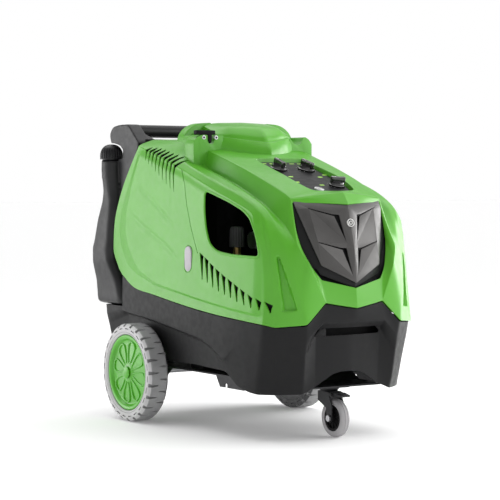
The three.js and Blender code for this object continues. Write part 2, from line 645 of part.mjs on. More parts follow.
function brakePedal() {
  const outline = [[PEDAL.y + 6, PEDAL.z - 5], [PEDAL.y + 6, PEDAL.z + 5], [PEDAL.y - 20, PEDAL.z + 8],
    [PEDAL.y - 46, PEDAL.z + 2], [PEDAL.y - 46, PEDAL.z - 4], [PEDAL.y - 20, PEDAL.z - 2]];
  return sideways(outline, -17, 17);
}

// ---- motor pump ------------------------------------------------------------------------------------
function motorBody() {
  const { y, z, r, from, to, shaftR } = MOTOR;
  let body = rod('x', from, y, z, r, to - from, 40);
  for (let k = 0; k < 16; k += 1) {
    const fin = new THREE.BoxGeometry(to - from - 24, 4, 14);
    fin.translate((from + to) / 2, 0, r + 2).rotateX((k * Math.PI) / 8);
    body = join(body, solid(fin.translate(0, y, z)));
  }
  const feet = box(from + 30, to - 40, y - 70, y + 70, TRAY.z + TRAY.t + GAP, z - r + 25);
  body = join(body, feet, box(from + 40, to - 60, y - 45, y + 45, z + r - 8, z + r + 34));
  return cut(body, rod('x', from - 5, y, z, shaftR + GAP, to - from + 10, 24));
}

const motorShaft = () => rod('x', PUMP.caseFrom + 12, MOTOR.y, MOTOR.z, MOTOR.shaftR,
  MOTOR.to + 22 - PUMP.caseFrom - 12, 24);

function coolingFan() {
  const { y, z, to, shaftR } = MOTOR;
  let body = ring('x', to + 4, y, z, 24, shaftR + GAP, 14, 24);
  for (let k = 0; k < 6; k += 1) {
    const blade = new THREE.BoxGeometry(11, 4, 50);
    blade.translate(to + 11, 0, 45).applyMatrix4(new THREE.Matrix4().makeRotationX((k * Math.PI) / 3));
    body = join(body, solid(blade.translate(0, y, z)));
  }
  return body;
}

function motorFanCover() {
  const { y, z, r, to } = MOTOR;
  let body = turned('x', to + GAP, y, z, [[r - 4, 0], [r, 0], [r, 26], [r - 8, 32], [0, 32], [0, 29],
    [r - 9, 29], [r - 4, 25], [r - 4, 0]], 28);
  for (let k = 0; k < 6; k += 1) {
    const angle = (k * Math.PI) / 3;
    body = cut(body, rod('x', to + 20, y + 50 * Math.cos(angle), z + 50 * Math.sin(angle), 14, 20, 10));
  }
  return body;
}

function pumpCrankcase() {
  const { y, z, shaftR, from } = MOTOR;
  const outline = [[y - 62, z - 60], [y + 62, z - 60], [y + 62, z + 46], [y + 46, z + 62], [y - 46, z + 62],
    [y - 62, z + 46]];
  let body = sideways(outline, PUMP.caseFrom, from - GAP);
  body = join(body, rod('z', -60, y, z + 60, 13, 14, 20));
  return cut(body, rod('x', PUMP.caseFrom + 8, y, z, shaftR + GAP, 120, 24));
}

function pumpHead() {
  const { y, z } = MOTOR;
  let body = box(PUMP.headFrom, PUMP.caseFrom - GAP, y - 55, y + 110, z - 48, z + 62);
  for (const dy of [-36, 0, 36]) {
    body = join(body, rod('z', PUMP.headFrom + 22, y + dy, z + 60, 13, 16, 6));
    body = join(body, rod('x', PUMP.headFrom - 11, y + dy, z - 14, 14, 12, 6));
  }
  return body;
}

function unloaderValve() {
  const foot = MOTOR.z + 62 + GAP;
  const body = rod('z', KNOB.x, KNOB.y, foot, 19, 56, 24);
  const port = rod('y', KNOB.x, KNOB.y + 14, foot + 24, 11, 36, 20);
  const stem = rod('z', KNOB.x, KNOB.y, foot + 55, 6, KNOB.z + 12 - foot - 55, 16);
  const collar = rod('z', KNOB.x, KNOB.y, foot + 55, 12, KNOB.z - GAP - foot - 55, 20);
  return join(body, port, stem, collar);
}

function pressureKnob() {
  const body = turned('z', KNOB.x, KNOB.y, KNOB.z, [[0, 14], [6 + GAP, 14], [6 + GAP, 0], [KNOB.r, 0],
    [KNOB.r, KNOB.h - 3], [KNOB.r - 2, KNOB.h], [0, KNOB.h]], 24);
  return body;
}

// ---- boiler and burner ------------------------------------------------------------------------------
function boilerShell() {
  const { x, y, r, z, h, flue } = BOILER;
  const wall = 1.6;
  return turned('z', x, y, z, [[0, 0], [r, 0], [r, h], [flue, h + 22], [flue, h + 60], [flue - wall, h + 60],
    [flue - wall, h + 20], [r - wall, h - 3], [r - wall, wall], [0, wall]], 32);
}

// The water coil stands inside the boiler as one stack of touching turns.
function heatingCoil() {
  const { x, y, r, z } = BOILER;
  const pitch = 62;
  const profile = [];
  for (let k = 0; k <= 7; k += 1) profile.push([r - 20 + (k % 2 ? 9 : 0), 60 + k * pitch]);
  const inner = profile.map(([radius, height]) => [radius - 9, height]).reverse();
  return turned('z', x, y, z, [...profile, ...inner, profile[0]], 18);
}

function burnerHousing() {
  const y = BURNER.y;
  const scroll = rod('x', 70, y - 40, 560, 52, 60, 32);
  const hollow = rod('x', 74, y - 40, 560, 46, 70, 32);
  const plate = box(-40, 71, y - 62, y - 22, 520, 600);
  return join(cut(scroll, hollow), plate);
}

function burnerFan() {
  const y = BURNER.y - 40;
  let body = join(rod('x', 78, y, 560, 10, 46, 20), rod('x', 78, y, 560, 40, 3, 32));
  for (let k = 0; k < 12; k += 1) {
    const blade = new THREE.BoxGeometry(40, 3, 12);
    blade.translate(100, 0, 33).applyMatrix4(new THREE.Matrix4().makeRotationX((k * Math.PI) / 6));
    body = join(body, solid(blade.translate(0, y, 560)));
  }
  return body;
}

function fuelPump() {
  const y = BURNER.y - 40;
  return join(rod('x', -78, y, 560, 26, 37.6, 24), rod('z', -60, y, 580, 8, 22, 12));
}

function exhaustGrille() {
  const { y, z, r } = GRILLE;
  let body = turned('z', 0, y, z, [[0, 0], [r, 0], [r, 3], [r - 4, 6], [0, 6]], 28);
  for (let k = -2; k <= 2; k += 1) {
    body = cut(body, box(-30, 30, y - 3.5 + k * 13, y + 3.5 + k * 13, z - 4, z + 10));
  }
  return body;
}

function transformer() {
  return join(box(-205, -125, -30, 40, TRAY.z + TRAY.t + GAP, 250), box(-190, -140, -45, 55, 185, 235));
}

function electricalBox() {
  return box(-70, 110, -150, -106, 625, 735);
}

function floatTank() {
  const outline = [[-205, 250], [-140, 250], [-140, 330], [-205, 330]];
  let body = upward(outline, TRAY.z + TRAY.t + GAP, 420);
  body = cut(body, upward([[-201, 254], [-144, 254], [-144, 326], [-201, 326]], TRAY.z + 8, 430));
  return body;
}

function highPressurePipe() {
  const { y, z } = MOTOR;
  const start = [PUMP.headFrom + 35, y + 111 + GAP, z];
  return tube([start, [-150, -90, z], [-165, -50, z + 10], [-175, 10, z + 20], [-170, 80, z + 10]], 7, 12, 8);
}

// ---- assembly -----------------------------------------------------------------------------------
const FINISH = {
  green_shell: [0x5fc235, 0.38, 0], black_shell: [0x2b2b2d, 0.6, 0], badge_metal: [0x6b6a6a, 0.42, 0.6],
  panel_dark: [0x3a3a3c, 0.55, 0], knob_gloss: [0x101011, 0.2, 0], plug_grey: [0xc9c5cb, 0.45, 0],
  wheel_green: [0x49b52c, 0.4, 0], tyre_grey: [0x8a8a8a, 0.85, 0], steel_dark: [0x55575a, 0.45, 0.8],
  zinc: [0xa9adb1, 0.35, 0.9], brass: [0xb9903e, 0.35, 1], motor_grey: [0x6d747a, 0.5, 0.4],
  inner_black: [0x161617, 0.7, 0], dial_white: [0xf1f1ee, 0.4, 0],
};

const washer = new THREE.Group();

function add(name, finish, body) {
  const [color, roughness, metalness] = FINISH[finish];
  const material = new THREE.MeshStandardMaterial({ color, roughness, metalness });
  const mesh = new THREE.Mesh(geometryOf(body), material);
  mesh.name = name;
  washer.add(mesh);
}

add('hood', 'green_shell', hood());
add('top_cowl', 'green_shell', topCowl());
add('control_panel', 'panel_dark', controlPanel());
for (const knob of PANEL_KNOBS) add(knob.name, 'knob_gloss', panelKnob(knob));
add('pressure_gauge', 'dial_white', pressureGauge());
add('badge_shield', 'badge_metal', badgeShield());
add('badge_surround', 'inner_black', badgeSurround());
add('base_tub', 'black_shell', baseTub());
add('chassis_tray', 'steel_dark', chassisTray());
add('rear_axle', 'zinc', rearAxle());
add('rear_cover', 'black_shell', rearCover());
add('handle_bar', 'black_shell', handleBar());
add('lance_clip', 'inner_black', lanceClip());
for (const [label, side] of [['left', -1], ['right', 1]]) {
  add(`side_plug_${label}`, 'plug_grey', sidePlug(side));
  add(`handle_upright_${label}`, 'black_shell', handleUpright(side));
  add(`tyre_${label}`, 'tyre_grey', rearTyre(side));
  add(`wheel_hub_${label}`, 'wheel_green', rearHub(side));
  add(`hub_cap_${label}`, 'wheel_green', hubCap(side));
}
add('fuel_tank', 'black_shell', rearTank(-1));
add('water_tank', 'black_shell', rearTank(1));
add('fuel_cap', 'black_shell', fillerCap(-1));
add('water_cap', 'black_shell', fillerCap(1));
add('caster_plate', 'steel_dark', casterPlate());
add('caster_fork', 'steel_dark', casterFork());
add('caster_axle', 'zinc', casterAxle());
add('caster_hub', 'inner_black', casterHub());
add('caster_tyre', 'tyre_grey', casterTyre());
add('brake_pedal', 'steel_dark', brakePedal());
add('motor_body', 'motor_grey', motorBody());
add('motor_shaft', 'zinc', motorShaft());
add('cooling_fan', 'inner_black', coolingFan());
add('motor_fan_cover', 'motor_grey', motorFanCover());
add('pump_crankcase', 'motor_grey', pumpCrankcase());
add('pump_head', 'brass', pumpHead());
add('unloader_valve', 'brass', unloaderValve());
add('pressure_knob', 'knob_gloss', pressureKnob());
add('boiler_shell', 'zinc', boilerShell());
add('heating_coil', 'steel_dark', heatingCoil());
add('burner_housing', 'motor_grey', burnerHousing());
add('burner_fan', 'steel_dark', burnerFan());
add('fuel_pump', 'zinc', fuelPump());
add('exhaust_grille', 'inner_black', exhaustGrille());
add('transformer', 'inner_black', transformer());
add('electrical_box', 'panel_dark', electricalBox());
add('float_tank', 'plug_grey', floatTank());
add('high_pressure_pipe', 'steel_dark', highPressurePipe());
for (const item of CONNECTORS) add(item.name, item.finish, connector(item));

export default washer;
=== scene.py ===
"""The looks of a hot-water pressure washer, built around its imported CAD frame.

Metres, +Z up. The front faces -Y and x = 0 is the machine's middle plane, so most pieces are
made once for the +X side and mirrored.
"""

import json
import math

import bmesh
import bpy
import numpy as np
from mathutils import Matrix, Vector
from mathutils.bvhtree import BVHTree


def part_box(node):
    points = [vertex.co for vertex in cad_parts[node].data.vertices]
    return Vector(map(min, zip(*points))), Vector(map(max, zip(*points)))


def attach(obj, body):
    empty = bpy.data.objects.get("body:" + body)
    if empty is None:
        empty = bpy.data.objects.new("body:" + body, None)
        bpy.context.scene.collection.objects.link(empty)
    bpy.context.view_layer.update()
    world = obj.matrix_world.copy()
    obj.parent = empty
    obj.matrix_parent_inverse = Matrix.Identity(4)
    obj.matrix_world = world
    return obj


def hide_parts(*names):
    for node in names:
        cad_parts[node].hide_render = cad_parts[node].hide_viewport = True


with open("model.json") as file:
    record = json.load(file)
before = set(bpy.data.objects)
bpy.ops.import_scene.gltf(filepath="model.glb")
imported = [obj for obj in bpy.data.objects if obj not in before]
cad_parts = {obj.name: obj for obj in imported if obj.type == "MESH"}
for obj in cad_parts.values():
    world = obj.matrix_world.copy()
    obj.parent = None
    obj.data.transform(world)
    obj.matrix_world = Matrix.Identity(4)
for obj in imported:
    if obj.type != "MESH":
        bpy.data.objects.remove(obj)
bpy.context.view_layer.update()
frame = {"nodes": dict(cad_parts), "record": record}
NODES = frame["nodes"]
SIDES = (("left", -1), ("right", 1))
SHELL = .0034                  # thickness of the hood's moulding
TAU = 2 * math.pi


# ---- meshes ----
def put(name, data):
    """A new object in the scene for a mesh, a light or a camera."""
    obj = bpy.data.objects.new(name, data)
    bpy.context.scene.collection.objects.link(obj)
    return obj


def put_mesh(name, bm):
    mesh = bpy.data.meshes.new(name)
    bm.to_mesh(mesh)
    bm.free()
    return put(name, mesh)


def make(name, verts, faces):
    mesh = bpy.data.meshes.new(name)
    mesh.from_pydata([tuple(v) for v in verts], [], [tuple(f) for f in faces])
    return face_out(put(name, mesh))


def weld(verts, faces, gap):
    """The faces as a bmesh, with points closer than gap joined."""
    mesh = bpy.data.meshes.new("weld")
    mesh.from_pydata(verts, [], faces)
    bm = bmesh.new()
    bm.from_mesh(mesh)
    bpy.data.meshes.remove(mesh)
    bmesh.ops.remove_doubles(bm, verts=bm.verts, dist=gap)
    bmesh.ops.recalc_face_normals(bm, faces=bm.faces)
    return bm


def face_out(obj):
    """Turns a closed body's faces outwards."""
    bm = bmesh.new()
    bm.from_mesh(obj.data)
    bmesh.ops.recalc_face_normals(bm, faces=bm.faces)
    bm.to_mesh(obj.data)
    bm.free()
    return obj


def modify(obj, kind, **settings):
    modifier = obj.modifiers.new(kind.lower(), kind)
    for key, value in settings.items():
        setattr(modifier, key, value)
    return obj


def bake(obj):
    """Replaces the object's mesh with what its modifiers make of it."""
    graph = bpy.context.evaluated_depsgraph_get()
    mesh = bpy.data.meshes.new_from_object(obj.evaluated_get(graph))
    obj.modifiers.clear()
    obj.data = mesh
    return obj


def boolean(obj, operation, others):
    for other in others:
        modify(obj, "BOOLEAN", operation=operation, object=other, solver="MANIFOLD")
        bake(obj)
        bpy.data.objects.remove(other)
    return obj


def cut(obj, *cutters):
    return boolean(obj, "DIFFERENCE", cutters)


def unite(obj, *others):
    return boolean(obj, "UNION", others)


def merge(name, objects):
    """Several objects' meshes in one object, each kept as it is."""
    bm = bmesh.new()
    for obj in objects:
        bm.from_mesh(obj.data)
        bpy.data.objects.remove(obj)
    return put_mesh(name, bm)


def smooth(obj, angle=32):
    mesh = obj.data
    mesh.polygons.foreach_set("use_smooth", np.ones(len(mesh.polygons), bool))
    mesh.set_sharp_from_angle(angle=math.radians(angle))
    return obj


def soften_edges(obj, width=.0008, segments=2, angle=35):
    modify(obj, "BEVEL", width=width, segments=segments, limit_method="ANGLE",
        angle_limit=math.radians(angle), use_clamp_overlap=True)
    return smooth(bake(obj), 40)


def remesh(obj, voxel, passes=6):
    """One smooth skin over everything in the mesh, with its edges rounded."""
    modify(obj, "REMESH", mode="VOXEL", voxel_size=voxel)
    modify(obj, "SMOOTH", factor=.5, iterations=passes)
    return smooth(bake(obj), 60)


def move(obj, where):
    obj.data.transform(Matrix.Translation(where))
    return obj


def flip(obj):
    """Mirrors a closed body to the -X side."""
    obj.data.transform(Matrix.Scale(-1, 4, (1, 0, 0)))
    return face_out(obj)


def eased_copy(node, name, material, width, segments, body=None):
    """The CAD piece itself as a visual one, with its edges eased."""
    obj = soften_edges(put(name, NODES[node].data.copy()), width, segments)
    dress(obj, material, body=body, replaces=(node,))


def turn_to(points, axis):
    """Points made round +Z, turned so that +Z becomes the named axis."""
    p = np.asarray(points, float)
    if axis == "x":
        return p[:, [2, 0, 1]]
    if axis == "y":
        return p[:, [1, 2, 0]]
    return p


def fillet(points, radius, steps=4, closed=True):
    """The outline with each corner rounded by an arc of about that radius."""
    p = [np.array(q, float) for q in points]
    count = len(p)
    out = []
    for i, corner in enumerate(p):
        if not closed and i in (0, count - 1):
            out.append(corner)
            continue
        before, after = p[i - 1] - corner, p[(i + 1) % count] - corner
        reach = min(radius, np.linalg.norm(before) * .45, np.linalg.norm(after) * .45)
        start = corner + before / np.linalg.norm(before) * reach
        end = corner + after / np.linalg.norm(after) * reach
        for k in range(steps + 1):
            t = k / steps
            out.append((1 - t) ** 2 * start + 2 * t * (1 - t) * corner + t ** 2 * end)
    return out


def prism(name, outline, axis, low, high):
    """A closed prism. The outline lies across the axis, its pairs in x, y, z order."""
    at = "xyz".index(axis)
    return loft(name, [[np.insert(np.array(p, float), at, h) for p in outline] for h in (low, high)])


def band(a, b, n):
    """The quads between two rings of n points, which start at a and b."""
    return [(a + k, a + (k + 1) % n, b + (k + 1) % n, b + k) for k in range(n)]


def loft(name, rings):
    """A closed body through rings of as many points each."""
    n = len(rings[0])
    faces = [range(n), range((len(rings) - 1) * n, len(rings) * n)]
    for i in range(len(rings) - 1):
        faces += band(i * n, (i + 1) * n, n)
    return make(name, [p for ring in rings for p in ring], faces)


def lathe(name, profile, segments, axis="z", centre=(0, 0, 0)):
    """A turned body: profile pairs are (radius, height along the axis)."""
    rings = []
    verts = []
    for r, h in profile:
        if r < 1e-7:
            rings.append([len(verts)] * segments)
            verts.append((0, 0, h))
            continue
        rings.append(list(range(len(verts), len(verts) + segments)))
        for k in range(segments):
            angle = k / segments * TAU
            verts.append((r * math.cos(angle), r * math.sin(angle), h))
    faces = []
    on_axis = profile[0][0] < 1e-7 and profile[-1][0] < 1e-7
    pairs = list(zip(rings, rings[1:] if on_axis else rings[1:] + rings[:1]))
    for a, b in pairs:
        for k in range(segments):
            ids = [a[k], a[(k + 1) % segments], b[(k + 1) % segments], b[k]]
            faces.append(tuple(dict.fromkeys(ids)))
    return make(name, turn_to(verts, axis) + np.array(centre), faces)


def rod(name, axis, centre, r, low, high, segments=40, edge=.0008):
    profile = [(0, low), (r - edge, low), (r, low + edge), (r, high - edge), (r - edge, high), (0, high)]
    return lathe(name, profile, segments, axis, centre)


def sweep(name, path, profile, up=None, closed=False):
    """The profile (across, up) carried along a path. up gives each point's upward direction."""
    p = np.array(path, float)
    along = np.roll(p, -1, 0) - np.roll(p, 1, 0)
    if not closed:
        along[0], along[-1] = p[1] - p[0], p[-1] - p[-2]
    along /= np.linalg.norm(along, axis=1)[:, None]
    ups = np.array(up if up is not None else [(0, 0, 1)] * len(p), float)
    across = np.cross(along, ups)
    across /= np.linalg.norm(across, axis=1)[:, None]
    ups = np.cross(across, along)
    verts = [p[i] + a * across[i] + h * ups[i] for i in range(len(p)) for a, h in profile]
    n = len(profile)
    faces = []
    for i in range(len(p) if closed else len(p) - 1):
        a, b = i * n, (i + 1) % len(p) * n
        faces += band(a, b, n)
    if not closed:
        faces += [range(n), range((len(p) - 1) * n, len(p) * n)]
    return make(name, verts, faces)


def mirrored(points, across=1, along=-1):
    """The points and, in reverse order, their mirror images."""
    return [*points, *[(across * a, along * b) for a, b in reversed(points)]]


def circle(r, count=12):
    return [(r * math.cos(k / count * TAU), r * math.sin(k / count * TAU)) for k in range(count)]


# ---- curves and cages ----
def spline(points):
    """A curve through the points, as a function of point number, that doesn't overshoot them."""
    p = np.array(points, float)
    step = np.diff(p, axis=0)
    limit = 3 * np.minimum(abs(step[:-1]), abs(step[1:]))
    middle = np.clip((step[:-1] + step[1:]) / 2, -limit, limit)
    middle[step[:-1] * step[1:] <= 0] = 0
    slope = np.vstack([step[:1], middle, step[-1:]])

    def at(t):
        i = min(int(t), len(step) - 1)
        f = t - i
        near = (1 + 2 * f) * (1 - f) ** 2 * p[i] + f * (1 - f) ** 2 * slope[i]
        far = f * f * (3 - 2 * f) * p[i + 1] + f * f * (f - 1) * slope[i + 1]
        return near + far
    return at


def sample(line, parameters):
    at = spline(line)
    return np.array([at(t) for t in parameters])


def supported(grid, radii, middle=0):
    """Adds cage columns next to each column, so that subdivision rounds it by about its radius."""
    grid = np.asarray(grid, float)
    columns = []
    for j in range(grid.shape[1] - 1):
        a, b = grid[:, j], grid[:, j + 1]
        length = np.linalg.norm(b - a, axis=1)[:, None] + 1e-9
        start = np.minimum(radii[j] / length, .42)
        end = 1 - np.minimum(radii[j + 1] / length, .42)
        shares = [start + (end - start) * k / (middle + 1) for k in range(middle + 2)]
        columns += [a, *[a + (b - a) * share for share in shares]]
    columns.append(grid[:, -1])
    return np.stack(columns, axis=1)


def coons(bottom, top, left, right, us, vs):
    """A patch between four curves given as functions; rows follow vs and columns us."""
    u_end, v_end = us[-1], vs[-1]
    low = [bottom(0), bottom(u_end)]
    high = [top(0), top(u_end)]
    rows = []
    for v in vs:
        g = v / v_end
        row = []
        for u in us:
            f = u / u_end
            across = left(v) * (1 - f) + right(v) * f
            up = bottom(u) * (1 - g) + top(u) * g
            flat = (low[0] * (1 - f) + low[1] * f) * (1 - g) + (high[0] * (1 - f) + high[1] * f) * g
            row.append(across + up - flat)
        rows.append(row)
    return np.array(rows)


def cage(name, grids, levels, crease=None):
    """One subdivided skin from grids on the +X side and their mirror images."""
    verts = []
    faces = []
    for grid in grids:
        rows, columns = grid.shape[:2]
        for side in (1, -1):
            start = len(verts)
            verts += [(x * side, y, z) for x, y, z in grid.reshape(-1, 3)]
            for i in range(rows - 1):
                for j in range(columns - 1):
                    a = start + i * columns + j
                    quad = (a, a + 1, a + columns + 1, a + columns)
                    faces.append(quad if side > 0 else quad[::-1])
    bm = weld(verts, faces, 2e-5)
    middle = Vector(np.mean([v.co for v in bm.verts], axis=0))
    outward = sum(f.normal.dot(f.calc_center_median() - middle) * f.calc_area() for f in bm.faces)
    if outward < 0:
        bmesh.ops.reverse_faces(bm, faces=bm.faces)
    layer = bm.edges.layers.float.new("crease_edge")
    for edge in bm.edges:
        a, b = (v.co for v in edge.verts)
        edge[layer] = crease(a, b) if crease else 0.0
    obj = put_mesh(name, bm)
    modify(obj, "SUBSURF", levels=levels, render_levels=levels, boundary_smooth="PRESERVE_CORNERS")
    return bake(obj)


def points_of(obj):
    co = np.zeros(len(obj.data.vertices) * 3)
    obj.data.vertices.foreach_get("co", co)
    return co.reshape(-1, 3)


def set_points(obj, points):
    obj.data.vertices.foreach_set("co", np.asarray(points).ravel())
    obj.data.update()


def line_distance(points, line):
    """Each point's signed distance to a polyline, positive to its left, and how far along it lies."""
    line = np.array(line, float)
    best = np.full(len(points), 1e9)
    signed = np.zeros(len(points))
    along = np.zeros(len(points))
    for k, (a, b) in enumerate(zip(line[:-1], line[1:])):
        edge = b - a
        t = np.clip(((points - a) @ edge) / (edge @ edge), 0, 1)
        gap = points - a - t[:, None] * edge
        d = np.linalg.norm(gap, axis=1)
        side = np.sign(edge[0] * gap[:, 1] - edge[1] * gap[:, 0])
        nearer = d < best
        best[nearer] = d[nearer]
        signed[nearer] = (side * d)[nearer]
        along[nearer] = k + t[nearer]
    return signed, along


def ease(t):
    t = np.clip(t, 0, 1)
    return t * t * (3 - 2 * t)


# ---- finishes ----
class Nodes:
    """A material's node tree, with short ways to add and join nodes."""

    def __init__(self, name):
        self.material = bpy.data.materials.new(name)
        self.material.use_nodes = True
        self.tree = self.material.node_tree
        self.surface = self.tree.nodes["Principled BSDF"]
        self.place = self.add("ShaderNodeTexCoord").outputs["Object"]

    def add(self, kind, **inputs):
        node = self.tree.nodes.new(kind)
        for key, value in inputs.items():
            node.inputs[key.replace("_", " ")].default_value = value
        return node

    def join(self, source, target):
        self.tree.links.new(source, target)

    def noise(self, scale, detail=2.0, stretch=None):
        node = self.add("ShaderNodeTexNoise", Scale=scale, Detail=detail)
        place = self.place
        if stretch:
            mapping = self.add("ShaderNodeMapping", Scale=stretch)
            self.join(place, mapping.inputs["Vector"])
            place = mapping.outputs["Vector"]
        self.join(place, node.inputs["Vector"])
        return node.outputs["Fac"]

    def spread(self, value, low, high, start=.35, end=.65):
        node = self.add("ShaderNodeMapRange")
        for key, number in (("From Min", start), ("From Max", end), ("To Min", low), ("To Max", high)):
            node.inputs[key].default_value = number
        self.join(value, node.inputs["Value"])
        return node.outputs["Result"]

    def tint(self, value, dark, light):
        node = self.add("ShaderNodeMix")
        node.data_type = "RGBA"
        node.inputs[6].default_value = (*dark, 1)
        node.inputs[7].default_value = (*light, 1)
        self.join(value, node.inputs["Factor"])
        self.join(node.outputs[2], self.surface.inputs["Base Color"])

    def bump(self, value, strength, distance):
        node = self.add("ShaderNodeBump", Strength=strength, Distance=distance)
        self.join(value, node.inputs["Height"])
        return node.outputs["Normal"]


def finish(name, colour, roughness, metallic=0.0, grain=(900.0, .05, .0002), coat=0.0,
           vary=.06, brushed=None, specular=.5):
    """A moulded, painted or metal finish: a slow colour drift, worn sheen and a fine surface grain."""
    m = Nodes(name)
    base = np.array(colour)
    drift = m.noise(9.0, 3.0)
    m.tint(m.spread(drift, 0, 1), base * (1 - vary), np.minimum(base * (1 + vary), 1))
    worn = m.noise(55.0, 4.0, brushed)
    m.join(m.spread(worn, roughness * .9, min(1.0, roughness * 1.12)), m.surface.inputs["Roughness"])
    m.surface.inputs["Metallic"].default_value = metallic
    m.surface.inputs["Specular IOR Level"].default_value = specular
    m.surface.inputs["Coat Weight"].default_value = coat
    m.surface.inputs["Coat Roughness"].default_value = .12
    scale, strength, distance = grain
    normal = m.bump(m.noise(scale, 2.0, brushed), strength, distance)
    m.join(normal, m.surface.inputs["Normal"])
    FINISHES[name] = m.material


FINISHES = {}
finish("green_shell", (.093, .385, .022), .37, grain=(1500, .04, .0002), coat=.06, vary=.03, specular=.42)
finish("black_shell", (.0095, .0095, .0102), .47, grain=(1300, .2, .0003), specular=.19)
finish("badge_metal", (.085, .082, .08), .38, .45, grain=(1100, .06, .0002), specular=.4)
finish("panel_dark", (.012, .012, .013), .4, grain=(1200, .1, .0002), specular=.2)
finish("knob_gloss", (.008, .008, .008), .16, coat=.6, grain=(600, .02, .0002))
finish("plug_grey", (.45, .42, .46), .4, grain=(1200, .06, .0002))
finish("wheel_green", (.085, .43, .016), .34, coat=.3, grain=(1200, .05, .0002))
finish("tyre_grey", (.31, .31, .313), .72, grain=(700, .3, .0006), vary=.1)
finish("tyre_side", (.55, .54, .55), .6, grain=(700, .2, .0004), vary=.05)
finish("steel_dark", (.03, .03, .032), .42, .5, grain=(800, .12, .0003), specular=.3)
finish("zinc", (.5, .5, .52), .34, .95, grain=(500, .1, .0002), brushed=(1, 1, 9))
finish("brass", (.62, .42, .16), .34, .95, grain=(420, .18, .0003))
finish("motor_grey", (.16, .17, .18), .5, .6, grain=(380, .3, .0005))
# inner_black is near black: the own colour of the rubber latch, the gauge hand and the caster hub, and
# painted shade on the plates behind the louvres, the base slot and the badge and on the boiler shell,
# transformer and electrical box.
finish("inner_black", (.004, .004, .0045), .6, grain=(900, .15, .0003), specular=.15)
finish("tank_black", (.011, .011, .012), .42, grain=(1300, .2, .0003), specular=.34)
finish("caster_pale", (.41, .4, .41), .6, grain=(700, .2, .0004), vary=.05)
# tyre_dark is the pressure knob's own dark finish and painted shade on the tyres' inboard sidewalls.
finish("tyre_dark", (.075, .075, .078), .7, grain=(700, .3, .0006), vary=.1)
finish("dial_white", (.82, .82, .8), .3, grain=(900, .03, .0001))
finish("lime_print", (.42, .82, .1), .4, grain=(900, .03, .0001))


def dress(obj, material, *, body=None, replaces=()):
    """Gives a piece its finish, its CAD body and the nodes it stands for."""
    obj.data.materials.clear()
    obj.data.materials.append(FINISHES[material])
    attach(obj, body or "chassis")
    if replaces:
        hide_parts(*replaces)
    return obj


# ---- hood ----
# Named lines of the moulding on the +X side, from the rear forwards and then down the corner.
SHOULDER = ((.258, .262, .847), (.26, .19, .827), (.26, .1, .8), (.262, 0, .772), (.268, -.1, .741),
    (.27, -.2, .709), (.266, -.3, .677), (.258, -.374, .645), (.255, -.4, .59), (.251, -.42, .526),
    (.252, -.43, .45), (.256, -.434, .39), (.259, -.436, .36), (.262, -.437, .335))
BROW_OUTER = ((.24, .267, .854), (.24, .185, .84), (.24, .092, .818), (.247, 0, .79), (.254, -.1, .76),
    (.256, -.203, .73), (.25, -.308, .696), (.24, -.388, .654), (.236, -.42, .598), (.236, -.44, .53),
    (.237, -.451, .45), (.239, -.457, .39), (.24, -.461, .355), (.24, -.465, .328))
BROW_INNER = ((.22, .271, .86), (.22, .182, .852), (.22, .083, .836), (.217, -.006, .79), (.217, -.1, .765),
    (.22, -.2, .735), (.22, -.302, .7), (.215, -.382, .661), (.207, -.43, .607), (.203, -.455, .56),
    (.197, -.475, .5), (.187, -.492, .44), (.175, -.505, .385), (.165, -.515, .335))
VALLEY = ((.2, .275, .866), (.2, .18, .862), (.2, .075, .853), (.188, -.012, .782), (.184, -.1, .75),
    (.188, -.2, .72), (.193, -.3, .685), (.195, -.37, .655), (.18, -.427, .61), (.174, -.46, .575),
    (.17, -.48, .55), (.155, -.495, .518), (.14, -.506, .487), (.1, -.513, .395))
RAIL = ((.12, .275, .868), (.12, .18, .864), (.12, .075, .856), (.175, -.01, .829), (.172, -.1, .803),
    (.169, -.2, .773), (.166, -.3, .739), (.16, -.384, .706), (.158, -.418, .688), (.154, -.424, .676),
    (.155, -.44, .62), (.154, -.452, .574), (.13, -.482, .5), (.104, -.498, .458))
RIM = ((0, .275, .87), (0, .18, .866), (0, .075, .858), (0, -.125, .806), (.082, -.131, .803),
    (.09, -.218, .777), (.092, -.3, .753), (.087, -.365, .729), (.07, -.411, .711), (.035, -.417, .709),
    (0, -.419, .708))
LIP = ((.08, -.44, .697), (0, -.457, .705))
BADGE_TOP = ((.08, -.453, .674), (0, -.482, .671))
BELOW_BADGE = ((.052, -.509, .446), (0, -.521, .434))
NOSE_BOTTOM = ((.05, -.52, .386), (0, -.527, .378))
REAR_EDGE = ((.281, .33, .445), (.278, .362, .472), (.275, .396, .53), (.273, .391, .61), (.27, .355, .7),
    (.265, .31, .775), (.258, .262, .847))
PARTING = ((.281, .33, .445), (.288, .24, .408), (.29, .125, .393), (.29, 0, .377), (.289, -.11, .364),
    (.285, -.22, .353), (.276, -.33, .344), (.262, -.437, .335))
CORNER_TURN = 7                 # where the shoulder turns down the front corner
LIP_TURN = 8                    # where the rail turns across the lip over the badge
RIM_START = 3                   # where the rim line starts to go round the console
RIM_DROP = .013                # depth of the console's wall
PER_STEP = 8                    # cage rows between two points of a line


def rows_between(start, end, extra=()):
    count = (end - start) * PER_STEP
    return sorted({start + k / PER_STEP for k in range(count + 1)} | set(extra))


